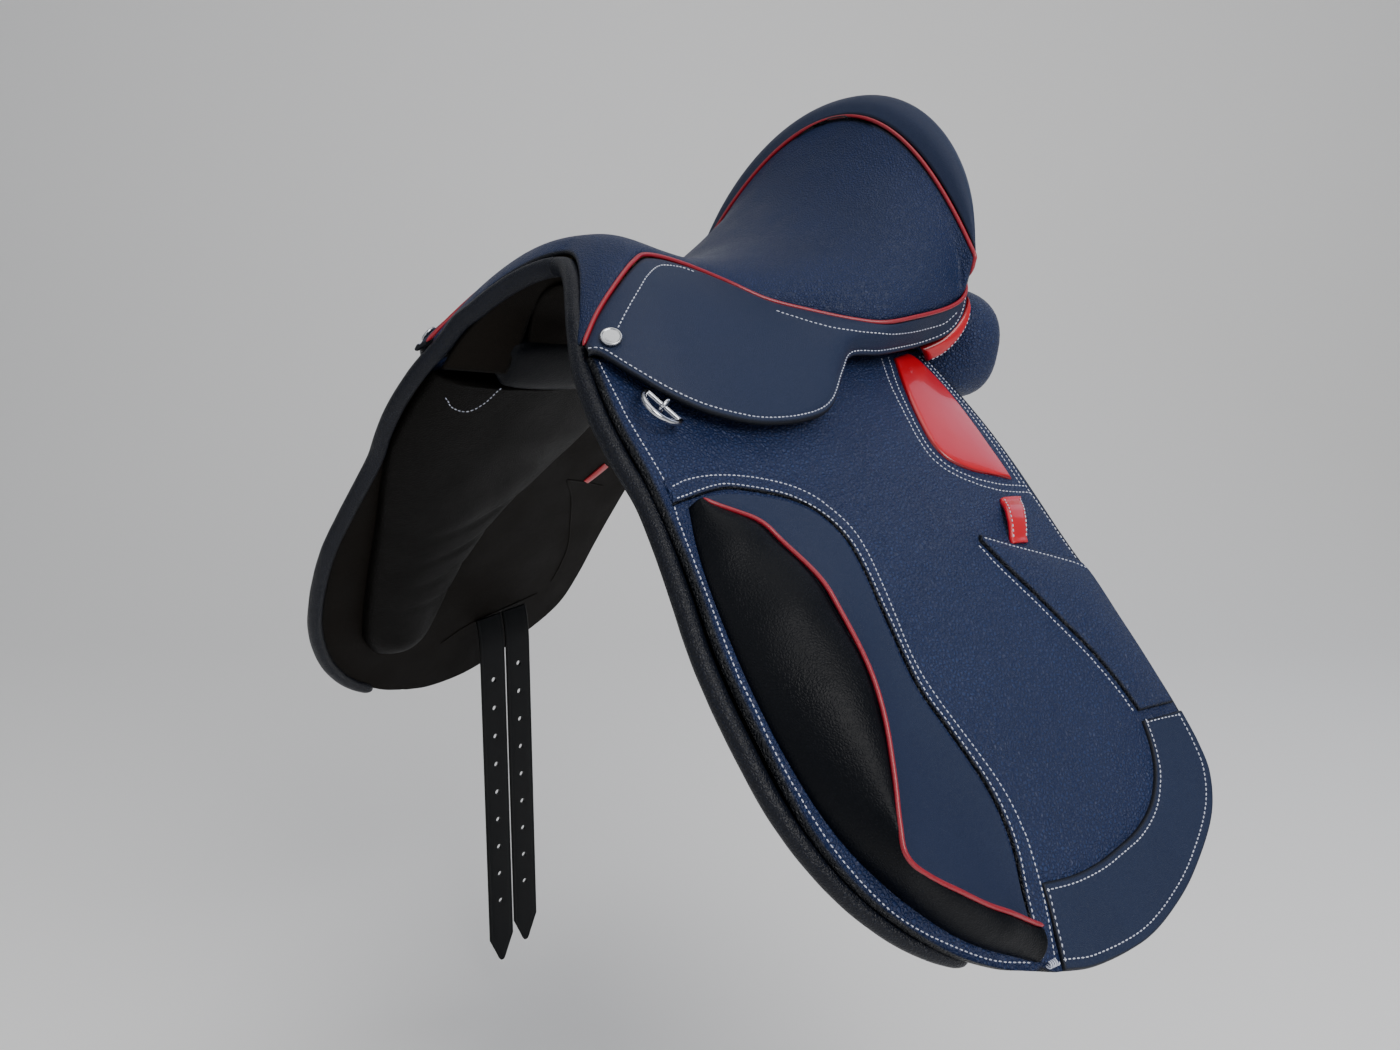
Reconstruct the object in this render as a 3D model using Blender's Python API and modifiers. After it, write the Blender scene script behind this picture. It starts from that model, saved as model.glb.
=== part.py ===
"""Dressage saddle with single flaps, modelled as its separate pieces.

Metres, +Z up. +X is the saddle's left side and -Y its pommel. The origin is the
flat ceiling of the gullet, midway along it, where the saddle rests when it is put away.
Lists of points are in millimetres. Pieces of the flap are laid out in (y, z) on the flap's
outer surface, with a lift in millimetres along the surface's normal.
"""

import math

import bmesh
import bpy
from mathutils import Matrix, Vector

MM = 0.001
FIT = 0.45

FLAP_THICK = 5.0
WEB_THICK = 1.8
LINING_THICK = 2.2
LINING_LIFT = -(FLAP_THICK + WEB_THICK + 2 * FIT)
LINING_FRONT_IN = 3.0
SKIRT_THICK = 3.6
COVER_THICK = 3.5
GULLET_THICK = 2.4
GUSSET_THICK = 1.6
HEAD_PLATE_THICK = 3.5
FOAM_THICK = 10.0
BLOCK_ROWS = 22
SKIRT_LINES = 32
TREE_THICK = 6.0
FOAM_DEPTH = COVER_THICK + 1.0
WEB_DEPTH = FOAM_DEPTH + FOAM_THICK + 1.6
SEAT_WEB_THICK = 1.4
TREE_DEPTH = WEB_DEPTH + SEAT_WEB_THICK + 0.6
SEAT_LINES = 26
SEAT_SIDES = 9
PIPING_R = 2.2
PIPING_ROOM = PIPING_R + 0.8
ARCH_ROLL_R = 7.0
FRONT_ROLL_R = 6.2
FRONT_ROLL_LIFT = -(FLAP_THICK + 7.5)
TONGUE_ROOT = 3.0
TONGUE_SWELL = 25.0
PANEL_SIDES = 14

BILLET_W = 28.0
BILLET_T = 4.0
BILLET_LENGTHS = (360.0, 353.0)
BILLET_CENTRES = (-14.6, 15.0)
BILLET_HANG_X = 302.0
BILLET_TOP_Z = -288.0
BILLET_SLANT = 0.13
BILLET_TIP = 26.0
FOLD_TOP_Z = -281.0
FOLD_R = 3.2
FOLD_LIFTS = (-12.5, -7.5)
HOLE_COUNT = 9
HOLE_PITCH = 29.0
HOLE_R = 2.2
HOLE_END = 66.0

BADGE_R = 6.5
BADGE_THICK = 1.6
BADGE_CENTRE = (99.1, -191.8, -16.3)
BADGE_FACING = (0.60, -0.45, 0.66)

RING_CENTRE_FOOT = (-178, -60)
RING_LIFT = 7.0
RING_BAR_WAY = (0.62, 0.447, -0.655)
RING_REACH_WAY = (0.671, -0.718, 0.147)
RING_HALF = 13.0
RING_DEPTH = 19.0
RING_WIRE = 1.9
CLIP_EYE_R = 4.6
CLIP_WIRE = 1.25
CLIP_PLATE_HALF = 6.5
CLIP_PLATE_THICK = 1.6

FLAP_AXIS = (70.0, 0.0, -22.0)
SKIRT_AXIS_FRONT = (119.5, -193.0, -26.0)
SKIRT_AXIS_REAR = (133.5, -1.0, -26.0)
SKIRT_HINGE_Z = -26.0
BAR_FOOT = ((66, -88, 2), (70, -104, -1), (80, -119, -9), (97, -128, -21))
BAR_ENDS = ((-122, -44), (-40, -44))
BAR_LIFT = 10.4
BAR_HALF_DEPTH = 2.0
BAR_HALF_FOOT = 5.5
BAR_HALF_WIDTH = 6.5
BAR_CATCH_TOP = (82.0, -33.0, -4.0)
BAR_CATCH_FOOT = (-33, -46)
CATCH_LIFT = 9.5
CATCH_HALF_DEPTH = 2.2
CATCH_HALF_WIDTHS = ((0.0, 3.0), (0.15, 4.0), (0.8, 3.6), (1.0, 4.6))
BILLET_PIVOT = (302.0, 0.0, -286.0)
FLAP_PIECES = ("flap", "flap_lining", "billet_web", "knee_block", "knee_wall", "knee_piping",
               "knee_band", "lower_band", "flap_gusset", "flap_inset", "billet_keeper",
               "front_roll", "panel_tongue", "ring_clip")
SKIRT_ROOM = 11.0

# Millimetres, (y, z) on the flap's surface.
FLAP_FRONT = ((-202, -27), (-206, -62), (-204, -96), (-213, -137), (-219, -176), (-217, -215),
              (-210, -256), (-191, -291), (-160, -321), (-130, -338), (-106, -346))
FLAP_REAR = ((104, -27), (108, -60), (107, -100), (101, -150), (102, -190), (103, -230),
             (103, -262), (97, -292), (80, -311), (50, -329), (20, -343), (-18, -354),
             (-60, -356), (-90, -351))

BLOCK_FRONT = ((-192, -110), (-201, -128), (-208, -150), (-209, -178), (-208, -208),
               (-203, -238), (-194, -264), (-180, -286), (-160, -306), (-138, -321), (-116, -333))
BLOCK_RIDGE = ((-186, -107), (-174, -117), (-164, -128), (-157, -146), (-154, -168),
               (-155, -195), (-160, -220), (-170, -246), (-178, -264), (-181, -277),
               (-171, -288), (-145, -305), (-113, -323))
BLOCK_REAR = ((-180, -104.5), (-164, -104.5), (-144, -107), (-121, -113), (-107, -120.5),
              (-98.5, -132), (-97.5, -147), (-101.5, -175), (-104.5, -208), (-98, -233),
              (-90.5, -258), (-88.5, -275), (-90.5, -293), (-97, -314), (-104, -331))
BLOCK_HEIGHTS = ((0.0, 6), (0.12, 17), (0.25, 26), (0.4, 29), (0.6, 28), (0.75, 26), (0.88, 19),
                 (1.0, 11))

BAND_OUTER = ((-196, -94), (-170, -92), (-148, -93), (-130, -96), (-112, -101), (-98, -108),
              (-89, -117), (-82, -129), (-81, -142), (-84, -160), (-91, -196), (-88, -218),
              (-79, -244), (-73, -263), (-71, -280), (-73, -297), (-78, -320), (-84, -340))
BAND_INNER = ((-193, -102), (-166, -101.5), (-143, -104.3), (-119, -110.5), (-104.5, -118.5),
              (-95.7, -131), (-94.6, -147), (-98.5, -175), (-101.5, -208), (-95, -232),
              (-87.6, -257), (-85.6, -275), (-87.6, -293), (-94, -314), (-98, -337))

GUSSET_LOWER = ((18, -155), (25, -170), (34, -184), (43, -200), (53, -217), (60, -235), (64, -251))
GUSSET_UPPER = ((21, -152.5), (42, -159), (64, -165), (86, -172), (99, -178), (99, -205),
                (99.5, -230), (99.5, -252))
LOWER_BAND_INNER = ((62, -256), (57, -269), (48, -282), (32, -295), (11, -304), (-12, -309),
                    (-31, -312), (-50, -313), (-68, -312))
LOWER_BAND_OUTER = ((99, -258), (98, -275), (92, -292), (77, -308), (49, -325), (20, -338),
                    (-18, -349), (-54, -351), (-78, -349))
INSET_FRONT = ((64, -34), (52, -50), (42, -67), (35, -84), (35, -94), (40, -101), (55, -108),
               (74, -112.5))
INSET_REAR = ((83, -31), (90, -36), (94, -56), (93, -78), (91, -95), (90, -106), (88.5, -116))
KEEPER_LINE = ((67, -124), (57.5, -138), (48, -152))
KEEPER_W = 14.0
KEEPER_STEPS = 12
KEEPER_STAND = 3.6
KEEPER_THICK = 2.4
KEEPER_CROWN = 3.0
FRONT_ROLL_LINE = ((-207, -28), (-213, -60), (-216, -96), (-219, -138), (-224, -176),
                   (-222, -212), (-216, -248), (-202, -280), (-184, -302))

TONGUE_FRONT = ((-186, -72), (-184, -110), (-178, -160), (-170, -210), (-160, -258),
                (-149, -282))
TONGUE_REAR = ((-12, -72), (-26, -104), (-48, -128), (-68, -156), (-84, -196), (-94, -240),
               (-108, -282))

# Millimetres, (x, y, z): points inside the saddle that the walls of its covers face.
UNDER_SEAT = (0, 0, -120)
UNDER_TREE = (0, 0, -200)
UNDER_SKIRT = (0, 0, -60)
UNDER_ARCH = (0, -126, -120)
IN_CANTLE = (0, 120, 60)
IN_PANEL = (0, 110, -20)
OVER_GULLET = (0, 20, 200)

# Half of the arch roll, from the middle, and the edges of the panel's gusset.
ARCH_LINE = ((0, -154, 24.5), (21, -161, 20), (32, -166, 14.5), (44, -174, 5), (51, -182, -3),
             (57, -190, -11), (64, -200, -21))
PANEL_GUSSET_UPPER = ((120, 112, -24), (129, 118, -14), (132, 128, -1), (130.5, 141, 11))
PANEL_GUSSET_LOWER = ((117, 113, -36), (126, 117, -30), (135, 125, -19), (132, 144, 0))
# The head plate's arch as (x, z), and its edges and middle along y.
HEAD_ARCH = ((0, 24), (26, 20.5), (44, 10.5), (58, -1), (70, -12.5), (81, -24))
HEAD_PLATE_Y = (-144, -134, -124)

# Millimetres, (x, y, z): the seam between the seat and the skirt, from the pommel's lower corner.
SEAT_SEAM = ((86, -202, -21), (78, -185, -3), (72, -166, 14), (65, -145, 29), (58, -127, 34),
             (56, -96, 30), (62, -60, 19), (76, -36, 7.5), (95, -13, 0), (115, 9, -6),
             (128, 28, -8), (136, 54, -4), (140, 80, 1), (141, 98, 7), (140, 108, 14),
             (137, 118, 23), (130, 129, 31), (118, 142, 39), (96, 154, 47), (60, 161, 52),
             (0.4, 164, 54))
# The skirt's free edge as (y, z, lift) where it lies on the flap, then as (x, y, z) behind it.
SKIRT_EDGE_ON_FLAP = ((-206, -28.5, 5), (-200, -31, 6.5), (-189, -44, 9.5), (-172, -59, 12),
                      (-150, -69, 12), (-118, -76, 12), (-80, -76, 12), (-52, -70, 12),
                      (-24, -53, 12), (-3, -41, 12), (26, -41, 13), (52, -39, 13.5))
SKIRT_EDGE_BEHIND = ((122.5, 76, -26), (129, 97, -19.5), (131.5, 110, -11), (132.5, 121, 0),
                     (130, 132, 12), (120, 146, 24), (97, 160, 33), (60, 169, 38.5),
                     (0.4, 172, 40))

# Seat stations: centre (y, z), side (x, y, z) and how square the shoulder is (1 is a parabola).
SEAT_STATIONS = (
    ((-150, 36.5), (75.5, -199, -18), 1.0),
    ((-148, 39), (81, -199.5, -18.5), 0.95),
    ((-143, 43.5), (78, -185, -3), 0.8),
    ((-138, 47), (72, -166, 14), 0.7),
    ((-132, 49), (65, -145, 29), 0.6),
    ((-120, 49), (58, -127, 34), 0.6),
    ((-96, 43), (56, -96, 30), 0.65),
    ((-64, 38), (62, -60, 19), 0.65),
    ((-36, 37.5), (76, -36, 7.5), 0.6),
    ((-12, 40), (95, -13, 0), 0.52),
    ((12, 45), (115, 9, -6), 0.45),
    ((37, 54), (128, 28, -8), 0.4),
    ((64, 70), (136, 54, -4), 0.38),
    ((87, 90), (140, 80, 1), 0.4),
    ((107, 115), (141, 98, 7), 0.5),
    ((120, 136), (142.5, 100.5, 21), 0.75),
    ((126.6, 149), (144.5, 103, 34), 1.0),
)
# Where the seat cover turns in at its last two stations, down to the seam with the skirt.
SEAT_HEMS = ((139.8, 100, 14.5), (139.5, 103, 18))
POMMEL_HEMS = ((76, -199.5, -21), (80.5, -199.5, -22))
CANTLE_SEAM = ((128.2, 152), (146.2, 108.4, 38.5), 1.0)
CANTLE_SEAM_FOOT = ((144.8, 108.9, 31), (142.4, 109, 24.5), (140.8, 109, 20))
CANTLE_STATIONS = (
    ((130.2, 155), (147, 112, 42), 1.0),
    ((138, 166), (147.5, 113, 42), 0.75),
    ((148, 172), (146.5, 116, 41), 0.62),
    ((158, 170), (144, 121, 41), 0.58),
    ((165, 160), (141, 127, 42), 0.56),
    ((168, 140), (137, 133, 43), 0.56),
    ((167, 112), (131, 140, 45), 0.6),
    ((165, 84), (122, 147, 48), 0.65),
    ((163, 60), (100, 153, 51), 0.8),
)
CANTLE_HEMS = ((139.5, 113, 22), (138.5, 115.5, 25), (137, 118, 27.5), (134.5, 122, 30.5),
               (131.5, 127, 33.5), (127, 132, 37), (121.5, 138, 41), (113, 145, 45), (100, 151, 49))

# Panel sections along y: centre (x, z), half width, half height and how far the outer side drops.
PANEL_STATIONS = (
    (-158, 60, -35, 13, 5, 52),
    (-150, 60, -36, 19, 8, 52),
    (-120, 61, -36, 24, 11, 48),
    (-70, 64, -36, 28, 14, 38),
    (-20, 66, -36, 30, 17, 28),
    (40, 67, -35, 31, 20, 20),
    (85, 67, -34, 30, 24, 14),
    (110, 67, -32, 29, 26, 12),
    (121, 82, -29, 45, 29, 12),
    (132, 88, -27, 51, 30, 12),
    (150, 91, -27, 52, 30, 13),
    (168, 91, -27, 47, 27, 14),
    (183, 90, -27, 36, 21, 14),
    (192, 89, -27, 18, 11, 14),
)
# Gullet channel sections along y: half width at the top, ceiling z, half width below, depth z.
GULLET_STATIONS = (
    (-146, 14, 15, 44, -13),
    (-125, 12, 10, 39, -15),
    (-95, 11, 4, 34, -12),
    (-60, 11, 0, 32, -9),
    (60, 11, 0, 32, -9),
    (140, 11, 0, 30, -9),
    (178, 11, 1.5, 28, -7),
)

PIECES = bpy.data.collections.new("dressage_saddle")
CUTTERS = bpy.data.collections.new("cutters")


def clear_scene():
    for obj in list(bpy.data.objects):
        bpy.data.objects.remove(obj)
    bpy.context.scene.collection.children.link(PIECES)
    bpy.context.scene.collection.children.link(CUTTERS)
    CUTTERS.hide_render = True


def finish(name, colour, roughness, metallic=0.0):
    """A plain Principled material; the colour is linear RGB."""
    material = bpy.data.materials.new(name)
    material.use_nodes = True
    shader = material.node_tree.nodes["Principled BSDF"]
    shader.inputs["Base Color"].default_value = (*colour, 1.0)
    shader.inputs["Roughness"].default_value = roughness
    shader.inputs["Metallic"].default_value = metallic
    material.diffuse_color = (*colour, 1.0)
    return material


def smooth_navy_leather():
    return finish("smooth_navy_leather", (0.020, 0.030, 0.058), 0.42)


def grained_navy_leather():
    return finish("grained_navy_leather", (0.014, 0.020, 0.036), 0.5)


def black_leather():
    return finish("black_leather", (0.006, 0.007, 0.010), 0.45)


def red_piping_leather():
    return finish("red_piping_leather", (0.40, 0.020, 0.035), 0.35)


def red_patent_leather():
    return finish("red_patent_leather", (0.55, 0.008, 0.018), 0.08)


def chrome():
    return finish("chrome", (0.78, 0.78, 0.79), 0.12, 1.0)


def brushed_steel():
    return finish("brushed_steel", (0.42, 0.42, 0.43), 0.35, 1.0)


def laminated_beech():
    return finish("laminated_beech", (0.42, 0.26, 0.13), 0.6)


def latex_foam():
    return finish("latex_foam", (0.66, 0.58, 0.40), 0.9)


def nylon_webbing():
    return finish("nylon_webbing", (0.30, 0.28, 0.25), 0.85)


def curve_at(points, u):
    """Point on the smooth curve through the given points; u counts them from 0."""
    i = min(int(u), len(points) - 2)
    t = u - i
    b, c = Vector(points[i]), Vector(points[i + 1])
    a = Vector(points[i - 1]) if i else 2 * b - c
    d = Vector(points[i + 2]) if i + 2 < len(points) else 2 * c - b
    return 0.5 * (2 * b + (c - a) * t + (2 * a - 5 * b + 4 * c - d) * t * t
                  + (3 * b - a - 3 * c + d) * t ** 3)


def spread(points, count):
    """count points on the smooth curve, with an equal share for each given stretch."""
    return [curve_at(points, (len(points) - 1) * k / (count - 1)) for k in range(count)]


def smooth_curve(points, count):
    """count points on the smooth curve, evenly spaced along it."""
    dense = spread(points, 14 * (len(points) - 1) + 1)
    run = [0.0]
    for a, b in zip(dense, dense[1:]):
        run.append(run[-1] + (b - a).length)
    picked = []
    i = 0
    for k in range(count):
        wanted = run[-1] * k / (count - 1)
        while i < len(run) - 2 and run[i + 1] < wanted:
            i += 1
        share = (wanted - run[i]) / (run[i + 1] - run[i])
        picked.append(dense[i].lerp(dense[i + 1], min(1.0, share)))
    return picked


def between(table, t):
    """Value at t in a table of (t, value) pairs, eased between them."""
    for (t0, v0), (t1, v1) in zip(table, table[1:]):
        if t <= t1:
            s = (t - t0) / (t1 - t0)
            return v0 + (v1 - v0) * s * s * (3 - 2 * s)
    return table[-1][1]


def flap_x(y, z):
    """The flap's outer surface: it leans out 40 degrees at the top and less below."""
    t = (z + 150) / 100
    return 218 - 87 * t - 8 * t * t + y / 10 - 0.05 * y * t


def flap_normal(y, z):
    t = (z + 150) / 100
    return Vector((1, -(0.1 - 0.05 * t), 0.87 + 0.16 * t + 0.0005 * y)).normalized()


def on_flap(y, z, lift=0.0):
    """Point on the left flap, lifted along the surface's normal."""
    return Vector((flap_x(y, z), y, z)) + lift * flap_normal(y, z)


def make_object(name, mesh, material):
    mesh.materials.append(material)
    mesh.shade_smooth()
    mesh.set_sharp_from_angle(angle=math.radians(40))
    obj = bpy.data.objects.new(name, mesh)
    PIECES.objects.link(obj)
    return obj


def mesh_from(name, points, faces):
    mesh = bpy.data.meshes.new(name)
    mesh.from_pydata([Vector(p) * MM for p in points], [], faces)
    return mesh


def sheet(name, rows, material, skip=()):
    """An open surface through rows of points, left out at the (row, column) cells in skip."""
    width = len(rows[0])
    points = [p for row in rows for p in row]
    faces = []
    for r in range(len(rows) - 1):
        for c in range(width - 1):
            if (r, c) not in skip:
                a = r * width + c
                faces.append((a, a + 1, a + width + 1, a + width))
    mesh = mesh_from(name, points, faces)
    if skip:
        work = bmesh.new()
        work.from_mesh(mesh)
        loose = [v for v in work.verts if not v.link_faces]
        bmesh.ops.delete(work, geom=loose, context="VERTS")
        work.to_mesh(mesh)
        work.free()
    return make_object(name, mesh, material)


def thicken(obj, thickness, away_from=(0, 0, 0)):
    """Gives a sheet its wall on the side that faces the given point, in millimetres."""
    mesh = obj.data
    total = 0.0
    for face in mesh.polygons:
        total += face.area * face.normal.dot(face.center - Vector(away_from) * MM)
    if total < 0:
        mesh.flip_normals()
    solid = obj.modifiers.new("wall", "SOLIDIFY")
    solid.thickness = thickness * MM
    solid.offset = -1.0
    solid.use_even_offset = False
    return obj


def soften(obj, width, segments=1, angle=35):
    bevel = obj.modifiers.new("edge", "BEVEL")
    bevel.width = width * MM
    bevel.segments = segments
    bevel.limit_method = "ANGLE"
    bevel.angle_limit = math.radians(angle)
    bevel.use_clamp_overlap = True
    return obj


def loft(name, rings, material):
    """A closed solid through closed rings of points, capped at both ends."""
    count = len(rings[0])
    points = [p for ring in rings for p in ring]
    faces = []
    for r in range(len(rings) - 1):
        for c in range(count):
            a = r * count + c
            b = r * count + (c + 1) % count
            faces.append((a, b, b + count, a + count))
    faces.append(tuple(reversed(range(count))))
    faces.append(tuple(range((len(rings) - 1) * count, len(rings) * count)))
    mesh = mesh_from(name, points, faces)
    work = bmesh.new()
    work.from_mesh(mesh)
    bmesh.ops.recalc_face_normals(work, faces=work.faces)
    work.to_mesh(mesh)
    work.free()
    return make_object(name, mesh, material)


def tube(name, points, radius, material):
    """A round cord along points, with closed ends."""
    curve = bpy.data.curves.new(name, "CURVE")
    curve.dimensions = "3D"
    curve.bevel_depth = radius * MM
    curve.bevel_resolution = 2
    curve.use_fill_caps = True
    spline = curve.splines.new("POLY")
    spline.points.add(len(points) - 1)
    for knot, point in zip(spline.points, points):
        knot.co = (*(Vector(point) * MM), 1.0)
    curve.materials.append(material)
    obj = bpy.data.objects.new(name, curve)
    PIECES.objects.link(obj)
    return obj


def as_mesh(obj):
    """Turns a curve object into a welded mesh object of the same name."""
    graph = bpy.context.evaluated_depsgraph_get()
    mesh = bpy.data.meshes.new_from_object(obj.evaluated_get(graph))
    work = bmesh.new()
    work.from_mesh(mesh)
    bmesh.ops.remove_doubles(work, verts=work.verts, dist=0.00001)
    bmesh.ops.recalc_face_normals(work, faces=work.faces)
    work.to_mesh(mesh)
    work.free()
    name = obj.name
    place = obj.matrix_world.copy()
    bpy.data.objects.remove(obj)
    made = bpy.data.objects.new(name, mesh)
    made.matrix_world = place
    PIECES.objects.link(made)
    return made


def mirrored(obj, name):
    """The same piece for the right side."""
    twin = obj.copy()
    twin.data = obj.data.copy()
    twin.name = name
    twin.matrix_world = Matrix.Scale(-1, 4, (1, 0, 0)) @ obj.matrix_world
    PIECES.objects.link(twin)
    return twin


def pair(obj):
    """Names the piece for the left side and adds its twin."""
    base = obj.name
    obj.name = base + "_L"
    return obj, mirrored(obj, base + "_R")


def cut(obj, cutter):
    PIECES.objects.unlink(cutter)
    CUTTERS.objects.link(cutter)
    cutter.hide_render = True
    cutter.display_type = "WIRE"
    difference = obj.modifiers.new("cut", "BOOLEAN")
    difference.operation = "DIFFERENCE"
    difference.solver = "EXACT"
    difference.object = cutter


def hang_on(axis_point, pieces, name):
    """Parents pieces to an empty on their joint's axis."""
    pivot = bpy.data.objects.new(name, None)
    pivot.location = Vector(axis_point) * MM
    PIECES.objects.link(pivot)
    bpy.context.view_layer.update()
    for piece in pieces:
        piece.parent = pivot
        piece.matrix_parent_inverse = pivot.matrix_world.inverted()


def strip_rows(edge_a, edge_b, rows, columns, lift, start=0.0, end=1.0):
    """Rows of points on the flap between two edges; lift is a function of (along, across)."""
    side_a = smooth_curve(edge_a, rows)
    side_b = smooth_curve(edge_b, rows)
    grid = []
    for r, (a, b) in enumerate(zip(side_a, side_b)):
        row = []
        for c in range(columns):
            across = start + (end - start) * c / (columns - 1)
            y, z = a.lerp(b, across)
            row.append(on_flap(y, z, lift(r / (rows - 1), across)))
        grid.append(row)
    return grid


def pad_rings(edge_a, edge_b, rows, columns, top, base, start=0.0, end=1.0):
    """Rings of a pad that lies on the flap: its crown one way and its flat back the other."""
    crown = strip_rows(edge_a, edge_b, rows, columns, top, start, end)
    back = strip_rows(edge_a, edge_b, rows, columns, lambda along, across: base, start, end)
    return [high + low[::-1] for high, low in zip(crown, back)]


def seat_station(station, sides, angle=90.0, inset=0.0):
    """One line across the seat, from the right side over the middle to the left."""
    (cy, cz), (ex, ey, ez), square = station
    side = Vector((ex, ey, ez))
    inward = (Vector((0, cy, cz)) - side).normalized()
    side += inset * inward
    line = []
    for k in range(-sides, sides + 1):
        turn = math.radians(angle) * abs(k) / sides
        drop = 1 - math.cos(turn) ** (2 * square)
        x = math.copysign(side.x * math.sin(turn), k)
        y = cy + (side.y - cy) * drop ** 0.75
        line.append(Vector((x, y, cz + (side.z - cz) * drop)))
    return line


def with_hem(line, hem):
    """Adds the turned-under hem at both ends of a line across the seat."""
    left = Vector(hem)
    right = Vector((-left.x, left.y, left.z))
    return [right] + line + [left]


def seat_hem(i):
    """The turned-under edge of the seat cover, inside its piping."""
    if i < 2:
        return POMMEL_HEMS[i]
    if i >= len(SEAT_STATIONS) - 2:
        return SEAT_HEMS[i - len(SEAT_STATIONS)]
    (cy, cz), side, _ = SEAT_STATIONS[i]
    side = Vector(side)
    inward = (Vector((0, cy, cz)) - side).normalized()
    return side + 1.9 * PIPING_ROOM * inward - Vector((0, 0, 2.5))


def seat_lines():
    """Evenly spaced lines across the seat, each with its hem at both ends."""
    lines = []
    for i, station in enumerate(SEAT_STATIONS):
        piped = 1 < i < len(SEAT_STATIONS) - 2
        line = seat_station(station, SEAT_SIDES, inset=PIPING_ROOM + 0.8 if piped else 0.0)
        lines.append(with_hem(line, seat_hem(i)))
    return dense_rows(lines, SEAT_LINES)


def build_seat_cover(material):
    cover = sheet("seat_cover", seat_lines(), material)
    return thicken(cover, COVER_THICK, UNDER_SEAT)


def build_cantle_cover(material):
    rows = []
    for station, hem in zip(CANTLE_STATIONS, CANTLE_HEMS):
        rows.append(with_hem(seat_station(station, SEAT_SIDES), hem))
    cover = sheet("cantle_cover", rows, material)
    return thicken(cover, COVER_THICK, IN_CANTLE)


def sunk_rows(first, last, every, reach, depth):
    """A grid below the seat's surface; reach counts steps of ten degrees to each side."""
    lines = seat_lines()
    middle = SEAT_SIDES + 1
    rows = []
    for i in range(first, last + 1, every):
        row = []
        for k in range(middle - reach, middle + reach + 1, 2):
            across = lines[i][k + 1] - lines[i][k - 1]
            along = lines[i + 1][k] - lines[i - 1][k]
            normal = across.cross(along).normalized()
            if normal.z < 0:
                normal.negate()
            row.append(lines[i][k] - depth * normal)
        rows.append(row)
    return rows


def build_seat_foam(material):
    foam = sheet("seat_foam", sunk_rows(6, 22, 1, 6, FOAM_DEPTH), material)
    return thicken(foam, FOAM_THICK, UNDER_TREE)


def build_tree(material):
    """The tree: a moulded laminate shell with the usual opening under the seat."""
    tree = sheet("tree", sunk_rows(5, 23, 2, 6, TREE_DEPTH), material,
                 skip={(r, c) for r in range(2, 6) for c in (2, 3)})
    return thicken(tree, TREE_THICK, UNDER_TREE)


def build_seat_webbing(material):
    """A lengthwise web over the tree's opening, between the foam and the tree."""
    web = sheet("seat_webbing", sunk_rows(7, 19, 2, 2, WEB_DEPTH), material)
    return thicken(web, SEAT_WEB_THICK, UNDER_TREE)


def build_gullet_plate(material):
    """The steel head plate: an arch of flat bar that sets the width of the saddle."""
    half = smooth_curve(HEAD_ARCH, 8)
    arch = [(-x, z) for x, z in half[:0:-1]] + [(x, z) for x, z in half]
    rows = [[(x, y, z) for y in HEAD_PLATE_Y] for x, z in arch]
    plate = sheet("gullet_plate", rows, material)
    return thicken(plate, HEAD_PLATE_THICK, UNDER_ARCH)


def build_seat_piping(material):
    """Piping from the pommel's lower corner round to the back of the cantle."""
    return tube("seat_piping", spread(SEAT_SEAM, SKIRT_LINES), PIPING_R, material)


def build_cantle_piping(material):
    line = seat_station(CANTLE_SEAM, SEAT_SIDES)
    foot = [Vector(p) for p in CANTLE_SEAM_FOOT]
    far_foot = [Vector((-p.x, p.y, p.z)) for p in foot[::-1]]
    return tube("cantle_piping", far_foot + line + foot, PIPING_R, material)


def build_arch_roll(material):
    """The padded roll round the front of the gullet."""
    left = smooth_curve(ARCH_LINE, 11)
    right = [Vector((-p.x, p.y, p.z)) for p in left[:0:-1]]
    return tube("arch_roll", right + left, ARCH_ROLL_R, material)


def build_gullet_lining(material):
    """The channel between the panels; its ceiling is flat where the saddle rests."""
    rows = []
    for y, top, ceiling, low, depth in GULLET_STATIONS:
        out, fall = low - top, ceiling - depth
        side = [(top, ceiling), (top + 0.55 * out, ceiling - 0.2 * fall),
                (top + 0.85 * out, ceiling - 0.55 * fall), (low, depth)]
        rows.append([(-x, y, z) for x, z in side[::-1]] + [(0, y, ceiling)]
                    + [(x, y, z) for x, z in side])
    return thicken(sheet("gullet_lining", rows, material), GULLET_THICK, OVER_GULLET)


def panel_ring(station):
    """One section of the panel: a rounded oblong that leans outwards."""
    y, cx, cz, wide, high, tilt = station
    ring = []
    lean = math.radians(tilt)
    for k in range(PANEL_SIDES):
        turn = 2 * math.pi * k / PANEL_SIDES
        across = wide * math.copysign(abs(math.cos(turn)) ** 0.8, math.cos(turn))
        up = high * math.copysign(abs(math.sin(turn)) ** 0.8, math.sin(turn))
        x = cx + across * math.cos(lean) + up * math.sin(lean)
        z = cz - across * math.sin(lean) + up * math.cos(lean)
        ring.append(Vector((x, y, z)))
    return ring


def build_panel(material):
    return pair(loft("panel", [panel_ring(s) for s in PANEL_STATIONS], material))


def build_panel_gusset(material):
    """Patent strip let into the panel's side behind the flap."""
    upper = smooth_curve(PANEL_GUSSET_UPPER, 8)
    lower = smooth_curve(PANEL_GUSSET_LOWER, 8)
    rows = []
    for k, (a, b) in enumerate(zip(upper, lower)):
        swell = 2.0 * math.sin(math.pi * k / 7)
        row = []
        for c in range(4):
            out = swell * math.sin(math.pi * c / 3)
            row.append(a.lerp(b, c / 3) + Vector((out, 0, 0)))
        rows.append(row)
    gusset = sheet("panel_gusset", rows, material)
    return pair(thicken(gusset, GUSSET_THICK, IN_PANEL))


def build_flap(material):
    rows = strip_rows(FLAP_FRONT, FLAP_REAR, 20, 8, lambda along, across: 0.0)
    return pair(thicken(sheet("flap", rows, material), FLAP_THICK))


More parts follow.
